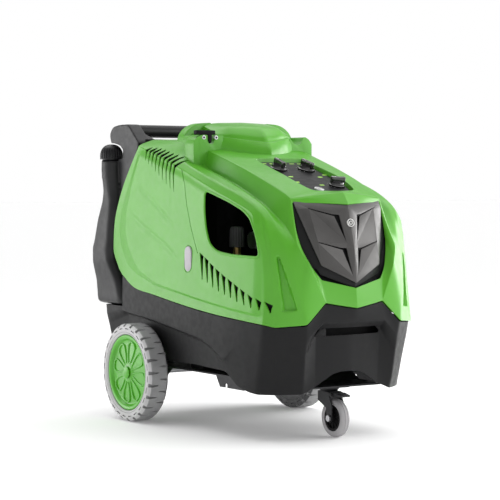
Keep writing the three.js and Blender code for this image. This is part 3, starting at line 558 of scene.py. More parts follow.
def hood_cage():
    turn = CORNER_TURN
    near_turn = (turn - .06, turn + .06)
    along = rows_between(0, 13, near_turn)
    lines = [sample(line, along) for line in (SHOULDER, BROW_OUTER, BROW_INNER, VALLEY, RAIL)]
    band = supported(np.stack(lines, axis=1), (.006, .01, .014, .005, .004), middle=2)
    shoulder, rear, parting = spline(SHOULDER), spline(REAR_EDGE), spline(PARTING)
    us = [s for s in along if s <= turn]
    vs = sorted(13 - s for s in along if s >= turn)
    side = coons(parting, shoulder, rear, lambda v: shoulder(13 - v), us, vs)
    on_rail = [s for s in along if s <= LIP_TURN]
    to_middle = rows_between(0, 2)
    lip_high, lip_low = spline([RAIL[LIP_TURN], *LIP]), spline([RAIL[LIP_TURN + 1], *BADGE_TOP])
    rail = spline(RAIL)
    outer = np.vstack([[rail(s) for s in on_rail], [lip_high(u) for u in to_middle[1:]]])
    steps = on_rail + [LIP_TURN + u for u in to_middle[1:]]
    inner = sample(RIM, steps)
    top = supported(np.stack([outer, inner], axis=1), (.004, .003), middle=2)
    opening = [k for k, s in enumerate(steps) if s >= RIM_START]
    sunk = inner * (.965, 1, 1) + (0, 0, -RIM_DROP)
    sunk[:, 1] += .003 * np.linspace(-1, 1, len(sunk))
    recess = supported(np.stack([inner, sunk], axis=1)[opening], (.002, .002))
    lip_steps = [s - LIP_TURN for s in along if LIP_TURN <= s <= LIP_TURN + 1]
    lip = coons(lip_high, lip_low, lambda v: rail(LIP_TURN + v),
        lambda v: lip_high(2) * (1 - v) + lip_low(2) * v, to_middle, lip_steps)
    nose_low = sample([VALLEY[-1], *NOSE_BOTTOM], to_middle)
    nose_high = sample([RAIL[-1], *BELOW_BADGE], to_middle)
    nose = supported(np.stack([nose_low, nose_high], axis=1), (.005, .004), middle=2)
    return [side, band, top, recess, lip, nose]


def hood_crease(a, b):
    on_middle = abs(a.x) < 1e-5 and abs(b.x) < 1e-5
    return 1.0 if on_middle and a.y < -.41 else 0.0


# The raised panel on each side: its inner edge, and the outer edge of the bevel round it, as (y, z)
# from the top rear corner down and forwards.
PANEL_INNER = ((.231, .842), (.28, .726), (.307, .636), (.308, .586), (.29, .537), (.243, .485),
    (.211, .461), (.12, .429), (-.085, .401), (-.292, .375), (-.44, .36))
PANEL_OUTER = ((.252, .842), (.307, .726), (.348, .643), (.361, .585), (.341, .535), (.297, .476),
    (.232, .449), (.122, .421), (-.085, .394), (-.292, .368), (-.44, .353))
PANEL_RISE = .0055
CREASES = (((.287, .64), (.223, .606), (.09, .553), (-.03, .495)), ((.251, .726), (.124, .66),
    (.003, .589)))
WINDOW = ((-.15, .712), (-.216, .695), (-.277, .678), (-.337, .656), (-.376, .63), (-.398, .59),
    (-.411, .521), (-.29, .524), (-.22, .532), (-.18, .553), (-.158, .6), (-.151, .65))
SEAM = ((0, .772), (-.033, .729), (-.052, .665), (-.075, .608), (-.101, .558), (-.12, .525))
OVAL = {"y": -.07, "z": .507, "r": .0195, "half": .019}
UPPER_BENDS = ((.214, .834), (.193, .832), (.174, .828), (.153, .823), (.132, .817), (.11, .81),
    (.088, .804), (.066, .797), (.044, .785))
UPPER_ENDS = ((.204, .8), (.186, .789), (.165, .779), (.143, .766), (.121, .753), (.1, .741), (.076, .728),
    (.052, .715), (.029, .704))
LOWER_TOPS = ((-.134, .523), (-.16, .511), (-.188, .495), (-.218, .48), (-.248, .466), (-.279, .453),
    (-.308, .44), (-.338, .427), (-.372, .413), (-.405, .403), (-.437, .395))
LOWER_ENDS = ((-.148, .45), (-.176, .442), (-.205, .43), (-.234, .42), (-.264, .412), (-.293, .404),
    (-.323, .394), (-.355, .387), (-.385, .38), (-.415, .375), (-.449, .368))


def side_relief(obj):
    """Raises the panel inside its bevel and adds the shallow folds pressed into it."""
    p = points_of(obj)
    pick = (np.abs(p[:, 0]) > .244) & (p[:, 1] > -.436)
    yz = p[pick][:, 1:]
    inner, _ = line_distance(yz, PANEL_INNER)
    outer, _ = line_distance(yz, PANEL_OUTER)
    rise = np.clip(np.abs(outer) / (np.abs(outer) + np.abs(inner) + 1e-9), 0, 1)
    rise = np.where(outer < 0, rise, 0)
    rise = np.where(inner < 0, 1, rise)
    shoulder = np.array(SHOULDER)[:CORNER_TURN + 1][::-1]
    top = np.interp(yz[:, 0], shoulder[:, 1], shoulder[:, 2])
    fade = ease((top - yz[:, 1]) / .03) * ease((yz[:, 0] + .436) / .05)
    lift = PANEL_RISE * rise * fade
    for crease in CREASES:
        gap, along = line_distance(yz, crease)
        ends = ease(along * 2) * ease((len(crease) - 1 - along) * 1.5)
        lift = lift - .0016 * np.exp(-(gap / .008) ** 2) * ends
    p[pick, 0] += np.sign(p[pick, 0]) * lift
    set_points(obj, p)


def surface_finder(obj):
    tree = BVHTree.FromObject(obj, bpy.context.evaluated_depsgraph_get())

    def on_side(y, z, side):
        """The point and outward normal on one side of the hood at (y, z)."""
        hit, normal, _, _ = tree.ray_cast(Vector((side * .4, y, z)), Vector((-side, 0, 0)))
        return np.array(hit), np.array(normal)
    return on_side


def dense(line, gap=.006, closed=False):
    """The polyline with points about gap apart."""
    p = [np.array(q, float) for q in line]
    if closed:
        p.append(p[0])
    out = []
    for a, b in zip(p, p[1:]):
        count = max(1, round(np.linalg.norm(b - a) / gap))
        out += [a + (b - a) * k / count for k in range(count)]
    return out if closed else out + [p[-1]]


def along_side(name, line, side, on_side, profile, closed=False):
    """A profile carried along a line of (y, z) on the hood's side. Its up is the surface's normal."""
    found = [on_side(y, z, side) for y, z in dense(line, closed=closed)]
    return sweep(name, [f[0] for f in found], profile, [f[1] for f in found], closed)


def upper_slot(bend, end, k):
    (y, z), (y1, z1) = bend, end
    reach = .01 + .0019 * k
    return [(y + .0045, z - .001), (y1 - .0004, z1), (y1 - .0022, z1 + .0005), (y - .0075, z - .0095),
        (y - reach - .005, z + reach * .52 - .0035), (y - reach - .002, z + reach * .52 + .0025)]


def lower_slot(top, end):
    (y, z), (y1, z1) = top, end
    return [(y + .0045, z + .0055), (y - .0185, z - .0055), (y - .016, z - .017), (y1 - .004, z1 + .001),
        (y1 + .0002, z1 - .001)]


def slot_cutters(side):
    pairs = enumerate(zip(UPPER_BENDS, UPPER_ENDS))
    outlines = [(.212, upper_slot(bend, end, k)) for k, (bend, end) in pairs]
    outlines += [(.228, lower_slot(top, end)) for top, end in zip(LOWER_TOPS, LOWER_ENDS)]
    return merge("slot_cutters", [prism("slot", o, "x", *sorted((side * deep, side * .31))) for deep,
        o in outlines])


# The near-black plates behind the louvres, painted shade that keeps the slots dark, as (y, z), and how far
# out each stands.
LOUVRE_SHADE_PLATES = ((((.228, .832), (.02, .796), (-.004, .7), (.214, .78)), .222), (((-.115, .535),
    (-.415, .412), (-.452, .4), (-.452, .362), (-.135, .438)), .2365))


# Painted shade: near-black plates set inside the hood behind the louvre slots.
def louvre_shade_plates():
    plates = []
    for _, side in SIDES:
        for outline, x in LOUVRE_SHADE_PLATES:
            plates.append(prism("back", outline, "x", *sorted((side * x, side * (x - .002)))))
    dress(merge("louvre_shade_plates", plates), "inner_black")


def oval(grow=0.0, count=40):
    """The plug's outline as (y, z)."""
    out = []
    for k in range(count):
        angle = (k + .5) / count * TAU
        lift = math.copysign(OVAL["half"], math.sin(angle))
        r = OVAL["r"] + grow
        out.append((OVAL["y"] + r * math.cos(angle), OVAL["z"] + lift + r * math.sin(angle)))
    return out


def flute(obj):
    """The shallow flute pressed into each front corner, widening downwards."""
    p = points_of(obj)
    top, foot = np.array((.222, -.458, .53)), np.array((.203, -.486, .372))
    mirrored = np.abs(p[:, 0])
    q = np.stack([mirrored, p[:, 2]], axis=1)
    axis = (foot - top)[[0, 2]]
    share = ((q - top[[0, 2]]) @ axis) / (axis @ axis)
    across = (q - top[[0, 2]]) @ (np.array((-axis[1], axis[0])) / np.linalg.norm(axis))
    half = .002 + .013 * np.clip(share, 0, 1)
    inside = ease((half - np.abs(across)) / .004 + .5) * ease(share * 12) * ease((1 - share) * 25)
    depth = .008 * inside * (p[:, 1] < -.4)
    p[:, 1] += depth
    p[:, 0] -= np.sign(p[:, 0]) * depth * .8
    set_points(obj, p)


def hood():
    obj = cage("hood", hood_cage(), 2, hood_crease)
    side_relief(obj)
    flute(obj)
    on_side = surface_finder(obj)
    beads = [along_side("window_bead", fillet(WINDOW, .018), -1, on_side, WINDOW_BEAD, True)]
    grooves = []
    for _, side in SIDES:
        grooves.append(along_side("seam_groove", SEAM, side, on_side, GROOVE))
        grooves.append(along_side("oval_groove", oval(.0012, 60), side, on_side, OVAL_GROOVE, True))
    modify(obj, "SOLIDIFY", thickness=SHELL, offset=-1, use_even_offset=False)
    bake(obj)
    cutters = [slot_cutters(side) for _, side in SIDES] + [merge("grooves", grooves)]
    cutters.append(prism("window_cutter", fillet(WINDOW, .018), "x", -.33, -.2))
    cutters.append(rod("flue_cutter", "z", (0, .182, 0), .04, .84, .9))
    cut(obj, *cutters)
    smooth(obj, 38)
    beads = [smooth(bead, 50) for bead in beads]
    return dress(merge("hood", [obj, *beads]), "green_shell", replaces=("hood",))


def half_round(width, rise, sink=.002, count=7):
    top = [(-width / 2 + width * k / count, rise * math.sin(math.pi * k / count)) for k in range(count + 1)]
    return [*top, (width / 2, -sink), (-width / 2, -sink)][::-1]


WINDOW_BEAD = half_round(.008, .0022)
GROOVE = [(-.0014, .003), (.0014, .003), (.0011, -.002), (-.0011, -.002)]
OVAL_GROOVE = [(-.0013, .003), (.0013, .003), (.001, -.0022), (-.001, -.0022)]


def side_plug(label, side):
    """The pale oval plug set into the hood's side."""
    x = .2795 if side > 0 else -.2795
    rings = [(0.0, -.012), (-.0004, .0028), (-.0016, .0044), (-.006, .0052)]
    rings = [[(x + side * rise, y, z) for y, z in oval(grow - .0006)] for grow, rise in rings]
    obj = smooth(loft(f"plug_{label}", rings), 30)
    return dress(obj, "plug_grey", replaces=(f"side_plug_{label}",))


# ---- base ----
# Columns of the base wall from the rear middle to the front middle, each from top to bottom.
BASE_COLUMNS = (((0, .455, .345), (0, .45, .31), (0, .445, .27), (0, .44, .23), (0, .436, .19)),
    ((.232, .466, .345), (.23, .463, .31), (.227, .456, .27), (.224, .448, .23), (.221, .44, .19)),
    ((.272, .457, .345), (.271, .455, .315), (.266, .45, .285), (.261, .444, .25), (.255, .43, .19)),
    ((.279, .333, .345), (.278, .333, .332), (.256, .333, .32), (.254, .333, .25), (.252, .333, .19)),
    ((.28, .329, .441), (.279, .329, .331), (.256, .329, .319), (.254, .329, .25), (.252, .329, .19)),
    ((.286, .24, .405), (.285, .24, .324), (.256, .24, .313), (.254, .24, .25), (.252, .24, .19)),
    ((.288, .125, .39), (.287, .125, .312), (.256, .125, .301), (.254, .125, .248), (.252, .125, .191)),
    ((.288, 0, .374), (.287, 0, .296), (.264, 0, .286), (.258, 0, .242), (.254, 0, .193)),
    ((.288, -.075, .365), (.286, -.075, .286), (.273, -.075, .276), (.266, -.075, .238),
    (.26, -.075, .195)), ((.287, -.145, .357), (.284, -.145, .277), (.276, -.145, .266), (.27, -.145, .23),
    (.265, -.145, .193)), ((.284, -.207, .351), (.281, -.207, .252), (.275, -.207, .243),
    (.271, -.207, .218), (.268, -.207, .192)), ((.281, -.256, .347), (.277, -.256, .221),
    (.273, -.256, .213), (.27, -.256, .2), (.268, -.256, .19)), ((.277, -.3, .343), (.273, -.3, .26),
    (.269, -.3, .21), (.266, -.302, .18), (.263, -.306, .152)), ((.272, -.345, .34), (.268, -.347, .28),
    (.263, -.35, .22), (.26, -.352, .175), (.257, -.355, .139)), ((.258, -.434, .332), (.255, -.425, .28),
    (.252, -.412, .23), (.251, -.4, .18), (.249, -.39, .134)), ((.231, -.462, .325), (.227, -.455, .28),
    (.223, -.446, .23), (.218, -.436, .18), (.213, -.425, .134)), ((.163, -.511, .331), (.161, -.503, .29),
    (.159, -.494, .24), (.157, -.485, .18), (.154, -.474, .137)), ((.099, -.511, .391), (.108, -.511, .338),
    (.112, -.482, .316), (.111, -.478, .24), (.109, -.474, .156)), ((.05, -.517, .382), (.052, -.514, .338),
    (.055, -.488, .316), (.055, -.484, .24), (.052, -.482, .19)), ((0, -.523, .374), (0, -.516, .338),
    (0, -.492, .316), (0, -.489, .25), (0, -.487, .201)),)
BASE_TURNS = (0, .03, .02, .004, .004, .05, .05, .05, .05, .04, .04, .03, .03, .03, .02, .014, .012, .006,
    .006, 0)
BASE_STEPS = (.003, .005, .006, .03, .002)
FRONT_SLOT = ((-.121, .2985), (-.098, .3215), (.093, .3215), (.109, .31), (.107, .3005))
SLOT_LINER = ((-.121, .2985), (-.098, .3215), (-.082, .3215), (-.082, .3))


def base():
    grid = np.array(BASE_COLUMNS)
    grid = supported(grid, BASE_STEPS)
    grid = supported(grid.transpose(1, 0, 2), BASE_TURNS, middle=1)
    obj = cage("base", [grid], 2)
    modify(obj, "SOLIDIFY", thickness=.004, offset=-1)
    bake(obj)
    slot = prism("slot_cutter", fillet(FRONT_SLOT, .004), "y", -.52, -.46)
    cut(obj, slot)
    ledge = hull("slot_end", [(x, y, z) for x, z in SLOT_LINER for y in (-.4845 - .1 * (x + .121), -.47)])
    # A near-black plate behind the front slot: painted shade inside the base.
    tray = prism("slot_shade_plate", [(-.14, .27), (-.14, .34), (.14, .34), (.14, .27)], "y", -.452, -.448)
    dress(tray, "inner_black")
    return dress(merge("base", [smooth(obj, 40), soften_edges(ledge, .001)]), "black_shell",
        replaces=("base_tub",))


# ---- top cowl and console ----
# Sections of the cowl, each a distance from its middle and then (y, z) from the front foot over the
# top to the rear foot. The third and fourth points are the step that runs across its front.
COWL = ((0, ((-.094, .8), (-.094, .812), (-.074, .852), (-.0665, .854), (-.058, .873), (-.027, .899),
    (.03, .912), (.085, .9178), (.113, .914), (.127, .897), (.13, .8))), (.045, ((-.075, .8), (-.075, .816),
    (-.057, .857), (-.0495, .8587), (-.04, .877), (-.012, .9), (.035, .911), (.085, .9165), (.113, .913),
    (.127, .895), (.13, .8))), (.085, ((-.052, .805), (-.052, .821), (-.035, .863), (-.0275, .8648),
    (-.02, .88), (.006, .9), (.045, .909), (.087, .915), (.112, .911), (.126, .893), (.129, .8))),
    (.112, ((-.03, .805), (-.03, .825), (-.014, .868), (-.0065, .8697), (-.001, .879), (.022, .893),
    (.052, .903), (.09, .911), (.112, .908), (.125, .89), (.128, .8))), (.13, ((-.013, .805), (-.013, .829),
    (.000, .871), (.0065, .8727), (.01, .878), (.034, .888), (.06, .896), (.092, .905), (.112, .903),
    (.125, .886), (.127, .8))),)
END_ARCH = ((-.2005, .8), (-.2005, .864), (-.196, .878), (-.188, .889), (-.177, .899), (-.165, .906),
    (-.152, .911), (-.137, .914), (-.1, .916), (-.1, .8))
LATCH_BLOCK = ((.178, .77), (.178, .8748), (.197, .8745), (.211, .87), (.2215, .861), (.2265, .847),
    (.2265, .77))
REST = ((.122, .79), (.122, .868), (.133, .859), (.143, .85), (.152, .8475), (.161, .851), (.168, .86),
    (.1735, .8725), (.181, .8735), (.194, .866), (.2045, .852), (.2045, .775))
LATCH_REST = ((.122, .79), (.122, .874), (.15, .875), (.1525, .858), (.158, .8485), (.1665, .8475),
    (.1735, .8555), (.1765, .875), (.196, .875), (.2045, .864), (.2045, .775))


COWL_ROWS = (*[k / 2 for k in range(6)], *[3 + k / 4 for k in range(20)], 8, 8.2, 8.4, 8.6, 8.8, 9, 10)


def cowl_body():
    sections = [sample([(x, y, z) for y, z in section], COWL_ROWS) for x, section in COWL]
    across = np.linspace(0, len(sections) - 1, 21)
    grid = np.array([sample([s[row] for s in sections], across) for row in range(len(COWL_ROWS))])
    rows, count = grid.shape[:2]
    full = np.concatenate([grid[:, :0:-1] * (-1, 1, 1), grid], axis=1)
    width = 2 * count - 1
    faces = [(i * width + j, i * width + j + 1, (i + 1) * width + j + 1, (i + 1) * width + j)
        for i in range(rows - 1) for j in range(width - 1)]
    faces.append([*range(width), *range(rows * width - 1, (rows - 1) * width - 1, -1)])
    faces += [[i * width for i in range(rows)], [i * width + width - 1 for i in range(rows)]]
    obj = make("cowl_body", full.reshape(-1, 3), faces)
    face_out(obj)
    return obj


def top_cowl():
    """The cowl over the rear deck, ridged down its middle, with rounded ends and two lance rests."""
    arches = []
    for side, outline in ((1, REST), (-1, LATCH_REST)):
        arch = fillet([(-side * x, z) for x, z in END_ARCH], .006, 3)
        arches.append(prism("end", arch, "y", .092, .1275))
        arches.append(prism("rest", fillet([(side * x, z) for x, z in outline], .0025, 4), "y", -.011, .0945))
    wide = fillet([(-x, z) for x, z in LATCH_BLOCK], .006, 4)
    arches.append(prism("latch_block", wide, "y", -.0108, .04))
    obj = unite(cowl_body(), *arches)
    cut(obj, rod("flue", "z", (0, .182, 0), .06, .78, .95))
    return dress(soften_edges(smooth(obj, 40), .0012, 3, 40), "green_shell", replaces=("top_cowl",))


def lance_clip():
    """The T-shaped rubber latch and the two screws beside its stem."""
    bar = prism("bar", fillet([(-.2165, .8758), (-.15, .8758), (-.15, .889), (-.2165, .889)], .003), "y",
        -.012, .006)
    stem = prism("stem", fillet([(-.177, .8775), (-.1765, .858), (-.172, .85), (-.167, .85), (-.1632, .858),
        (-.163, .8775)], .002), "y", -.0135, -.002)
    obj = merge("lance_latch", [soften_edges(bar, .0012, 3), soften_edges(stem, .001, 3)])
    dress(obj, "inner_black", replaces=("lance_clip",))
    for k, x in enumerate((-.1905, -.147)):
        washer = lathe(f"latch_washer_{k}", [(0, -.003), (.0064, -.003), (.0064, .0004), (.0056, .001),
            (0, .001)], 32)
        washer.data.transform(Matrix.Translation((x, -.0114, .8675)) @ Matrix.Rotation(math.pi / 2, 4, "X"))
        dress(smooth(washer, 30), "zinc")
        screw(f"latch_screw_{k}", (x, -.0122, .8675), (0, -1, 0), .0034, "steel_dark")


def screw(name, place, direction, r, material="zinc"):
    """A pan-head screw with a cross recess, facing a direction."""
    head = lathe("head", [(0, -.002), (r, -.002), (r, .0004), (r * .82, .0013), (r * .4, .0018),
        (0, .0019)], 20)
    arms = [prism("arm", [(-a, -b), (a, -b), (a, b), (-a, b)], "z", .0006, .004) for a,
        b in ((r * .55, r * .11), (r * .11, r * .55))]
    cut(head, *arms)
    head.data.transform(Vector(direction).to_track_quat("Z", "Y").to_matrix().to_4x4())
    move(head, place)
    head.name = name
    return dress(smooth(head, 30), material)


PANEL_SLOPE = .328
PANEL_ANGLE = math.atan(PANEL_SLOPE)
PANEL_AXIS = Vector((0, -math.sin(PANEL_ANGLE), math.cos(PANEL_ANGLE)))
PANEL_TURN = Matrix.Rotation(PANEL_ANGLE, 4, "X")
PANEL_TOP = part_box("control_panel")[1]


def panel_point(x, y, height=0.0):
    """A point over the console's face, height above it along its slope's normal."""
    z = PANEL_TOP.z + PANEL_SLOPE * (y - PANEL_TOP.y)
    return Vector((x, y, z)) + PANEL_AXIS * height


def onto_panel(obj, x, y, height=0.0):
    obj.data.transform(Matrix.Translation(panel_point(x, y, height)) @ PANEL_TURN)
    return obj


AXES = {joint["child"]: joint["pos_m"] for joint in frame["record"]["behaviour"]["joints"]}


def foot_of(body):
    """Where the axis that a console knob turns on meets the panel."""
    x, y, z = AXES[body]
    gap = z - PANEL_TOP.z - PANEL_SLOPE * (y - PANEL_TOP.y)
    return x, y - PANEL_AXIS.y * gap / (PANEL_AXIS.z - PANEL_SLOPE * PANEL_AXIS.y)


# Knob node, body, place on the console, radius and how far its grip is turned.
KNOBS = (("main_switch_knob", "main_switch", *foot_of("main_switch"), .0265, 0), ("thermostat_knob",
    "thermostat", *foot_of("thermostat"), .0265, 8), ("detergent_knob", "detergent_dial",
    *foot_of("detergent_dial"), .0245, 82))
GAUGE = (-.028, -.378, .015)


def knob(node, body, x, y, r, turn):
    """A glossy knob: a ringed skirt, a stepped drum and a thick grip with a pointer line."""
    skirt = lathe("skirt", [(0, .0007), (r * .97, .0007), (r, .0018), (r, .004), (r * .95, .0054),
        (r * .87, .0058), (r * .85, .0075), (r * .8, .0125), (r * .76, .0138), (0, .0142)], 88)
    waist = mirrored(mirrored([(.0068, r * .93), (.006, r * .4)]), -1, 1)
    top = .0275
    grip = prism("grip", fillet(waist, .0035), "z", .008, top)
    soften_edges(grip, .0018, 3)
    twist = Matrix.Rotation(math.radians(turn), 4, "Z")
    obj = merge(node.replace("_knob", "_dial"), [smooth(skirt, 40), grip])
    obj.data.transform(twist)
    dress(onto_panel(obj, x, y), "knob_gloss", body=body, replaces=(node,))
    line = prism(f"{body}_pointer", [(-.0009, r * .3), (.0009, r * .3), (.0009, r * .86),
        (-.0009, r * .86)], "z", top - .0008, top + .0002)
    line.data.transform(twist)
    dress(onto_panel(line, x, y), "dial_white", body=body)


def console():
    """The sunk dark panel with its printed marks, scales round the knobs and a gauge."""
    plate = NODES["control_panel"]
    plate.data.materials.clear()
    plate.data.materials.append(FINISHES["panel_dark"])
    marks = []
    for x in (-.066, -.038, .006, .034, .062):
        marks.append(mark(x, -.149, .017, .0045))
    for x, y in ((-.051, -.268), (.052, -.271), (.008, -.342), (.0815, -.252), (-.062, -.316)):
        marks.append(mark(x, y, .0165, .008, True))
    dress(merge("console_marks", marks), "lime_print")
    ticks = []
    for _, _, x, y, r, _ in KNOBS:
        for k in range(11):
            angle = math.radians(-135 + 27 * k)
            tick = mark(0, 0, .0008, .0026)
            tick.data.transform(Matrix.Rotation(-angle, 4, "Z") @ Matrix.Translation((0, r + .0032, 0)))
            ticks.append(onto_panel(tick, x, y))
    dress(merge("console_scales", ticks), "dial_white")
    x, y, r = GAUGE
    bezel = lathe("gauge_bezel", [(r - .0026, -.004), (r, -.004), (r, .0016), (r - .0008, .0028),
        (r - .0022, .0028), (r - .0026, .002)], 60)
    dress(smooth(onto_panel(bezel, x, y), 40), "zinc")
    dial = lathe("gauge_dial", [(0, -.01), (r - .003, -.01), (r - .003, .0012), (0, .0012)], 48)
    dress(smooth(onto_panel(dial, x, y), 30), "dial_white", replaces=("pressure_gauge",))
    hand = prism("gauge_hand", [(-.0008, -.004), (.0008, -.004), (.0003, .01), (-.0003, .01)], "z", .0013,
        .0018)
    hand.data.transform(Matrix.Rotation(math.radians(40), 4, "Z"))
    dress(onto_panel(hand, x, y), "inner_black")


def mark(x, y, width, length, round_ends=False):
    """A thin raised print. Without a place it is made flat, ready to be turned."""
    outline = [(-width / 2, -length / 2), (width / 2, -length / 2), (width / 2, length / 2),
        (-width / 2, length / 2)]
    obj = prism("mark", fillet(outline, length * .45 if round_ends else length * .1, 3), "z", -.0002, .0003)
    return obj if (x, y) == (0, 0) else onto_panel(obj, x, y)


# ---- badge ----
# The shield's points on the +X side. The keel runs down x = 0 and the wings rise between the slits.
SHIELD = {"top": (0, -.479, .669), "brow": (.078, -.453, .674), "horn": (.151, -.4245, .6785),
    "side": (.149, -.438, .657), "edge": (.1265, -.466, .578), "low": (.102, -.494, .499),
    "tip": (0, -.5225, .449), "keel": (0, -.5115, .548), "stem_a": (.033, -.479, .643),
    "stem_b": (.017, -.501, .56), "stem_c": (.023, -.501, .544), "stem_d": (.009, -.5185, .467),
    "wing": (.114, -.448, .66), "low_wing": (.104, -.481, .563),}
SHIELD_FACES = (("top", "brow", "stem_a"), ("brow", "horn", "wing"), ("brow", "wing", "stem_a"),
    ("horn", "side", "wing"), ("side", "edge", "wing"), ("edge", "low_wing", "wing"),
    ("top", "stem_a", "keel"), ("stem_a", "stem_b", "keel"), ("keel", "stem_b", "stem_c"),
    ("keel", "stem_c", "stem_d"), ("keel", "stem_d", "tip"), ("wing", "stem_b", "stem_a"),
    ("wing", "low_wing", "stem_b"), ("low_wing", "stem_c", "stem_b"), ("edge", "low", "low_wing"),
    ("low_wing", "low", "stem_d"), ("low_wing", "stem_d", "stem_c"), ("low", "tip", "stem_d"))
UPPER_SLIT = ((.116, .6605), (.05, .6425), (.031, .641), (.019, .564), (.045, .6365), (.1155, .658))
LOWER_SLIT = ((.1035, .565), (.038, .548), (.02, .5465), (.009, .468), (.033, .542), (.103, .5625))
# The dark surround: its outer edge, and its inner edge just behind the shield's.
SURROUND_OUTER = ((0, -.515, .4345), (.101, -.49, .4725), (.1105, -.4835, .4885), (.1265, -.4715, .4955),
    (.15, -.4515, .572), (.1545, -.431, .655), (.1515, -.42, .6775), (.078, -.448, .673), (0, -.4745, .668))
SURROUND_INNER = ((0, -.5165, .448), (.09, -.4925, .4935), (.0985, -.4905, .4975), (.1015, -.488, .502),
    (.1235, -.462, .577), (.146, -.434, .656), (.148, -.4225, .6765), (.077, -.45, .672), (0, -.476, .6675))
SURROUND_BACK = (0, -.495, .548)
# A near-black plate inside the hood that closes the opening behind the badge: painted shade where the hood's
# inside would show.
BADGE_SHADE_PLATE = ((0, -.461, .685), (.08, -.434, .689), (.156, -.404, .687), (.164, -.409, .655),
    (.167, -.428, .62), (.167, -.449, .57), (.141, -.48, .492), (.111, -.487, .448), (.055, -.5, .433),
    (0, -.511, .422))
BADGE_SHADE_PLATE_MIDDLE = (0, -.458, .55)


def sheet(name, faces, thick):
    """A plate from faces given as points on the +X side, with their mirror images."""
    verts = []
    loops = []
    for points in faces:
        for side in (1, -1):
            start = len(verts)
            verts += [(side * x, y, z) for x, y, z in points]
            loops.append(list(range(start, len(verts)))[::side])
    bm = weld(verts, loops, 1e-5)
    if sum(f.normal.y * f.calc_area() for f in bm.faces) > 0:
        bmesh.ops.reverse_faces(bm, faces=bm.faces)
    obj = put_mesh(name, bm)
    modify(obj, "SOLIDIFY", thickness=thick, offset=-1)
    return bake(obj)


def badge():
    """The folded shield with its four slits, over a black surround that shows down its sides."""
    obj = sheet("shield", [[SHIELD[key] for key in face] for face in SHIELD_FACES], .0035)
    slits = []
    for side in (1, -1):
        for slit in (UPPER_SLIT, LOWER_SLIT):
            slits.append(prism("slit", [(side * x, z) for x, z in slit], "y", -.6, -.4))
    cut(obj, merge("slits", slits))
    dress(soften_edges(obj, .0008, 2, 9), "badge_metal", replaces=("badge_shield",))
    rim = list(zip(SURROUND_OUTER, SURROUND_OUTER[1:], SURROUND_INNER[1:], SURROUND_INNER))
    fill = [(SURROUND_BACK, a, b) for a, b in zip(SURROUND_INNER, SURROUND_INNER[1:])]
    dress(soften_edges(sheet("shield_surround", rim + fill, .005), .0009, 2, 20), "black_shell",
        replaces=("badge_surround",))
    # The plate behind the badge is painted shade.
    shade_plate = sheet("badge_shade_plate", [(BADGE_SHADE_PLATE_MIDDLE, a, b) for a, b in zip(BADGE_SHADE_PLATE, BADGE_SHADE_PLATE[1:])], .002)
    dress(shade_plate, "inner_black")
    emblem()


def emblem():
    """A plain round emblem: two rings."""
    parts = []
    for inner, outer in ((.0098, .0114), (.0042, .0056)):
        parts.append(lathe("ring", [(inner, -.004), (outer, -.004), (outer, .0016), (inner, .0016)], 56))
    obj = merge("emblem", parts)
    place = Vector(SHIELD["top"]).lerp(Vector(SHIELD["keel"]), .42) + Vector((0, -.0012, 0))
    obj.data.transform(Matrix.Translation(place) @ Matrix.Rotation(math.pi / 2 - .26, 4, "X"))
    dress(smooth(obj, 30), "dial_white")


# ---- rear tanks, uprights, bar and caps ----
# Levels of a tank from the bottom: height, front, rear, inner and outer edge, corner radius.
TANK = ((.347, .336, .495, .003, .262, .02), (.356, .336, .511, .003, .279, .03), (.39, .348, .514, .003,
    .282, .03), (.422, .36, .516, .003, .284, .03), (.454, .38, .522, .003, .288, .03),
    (.486, .398, .5264, .003, .2915, .03), (.518, .402, .5264, .003, .2915, .03), (.55, .402, .52, .003,
    .288, .03), (.582, .401, .512, .003, .2864, .03), (.613, .4, .505, .01, .284, .03),
    (.645, .399, .498, .07, .28, .0325), (.677, .403, .492, .13, .276, .035), (.709, .409, .488, .175,
    .2765, .038), (.741, .414, .489, .204, .2785, .036), (.773, .415, .4895, .204, .2815, .036),
    (.8, .415, .4885, .204, .2815, .036))
NECK = {"x": .247, "y": .458, "r": .0315, "top": .806}
UPRIGHT = ((.356, .9165), (.419, .9155), (.457, .91), (.478, .887), (.468, .858), (.45, .845), (.418, .8),
    (.404, .7), (.4, .64), (.384, .66), (.35, .738), (.3, .826), (.288, .857))
UPRIGHT_SPAN = (.2005, .2445)
GUSSET = ((.2442, .357, .9163), (.2442, .288, .857), (.222, .35, .894), (.205, .335, .882),
    (.16, .315, .8645), (.244, .4, .91), (.215, .4, .89), (.16, .39, .86), (.2, .4, .85), (.244, .3, .845),
    (.16, .333, .853))


def ring_points(level, side, count=7):
    z, front, rear, inner, outer, r = level
    r = min(r, (rear - front) / 2 - 1e-4, (outer - inner) / 2 - 1e-4)
    corners = ((outer - r, rear - r, 0), (inner + r, rear - r, 1), (inner + r, front + r, 2),
        (outer - r, front + r, 3))
    out = []
    for x, y, quarter in corners:
        for k in range(count):
            angle = (quarter + k / (count - 1)) * math.pi / 2
            out.append((side * (x + r * math.cos(angle)), y + r * math.sin(angle), z))
    return out


def hull(name, points):
    bm = bmesh.new()
    for p in points:
        bm.verts.new(p)
    bmesh.ops.convex_hull(bm, input=bm.verts)
    return face_out(put_mesh(name, bm))


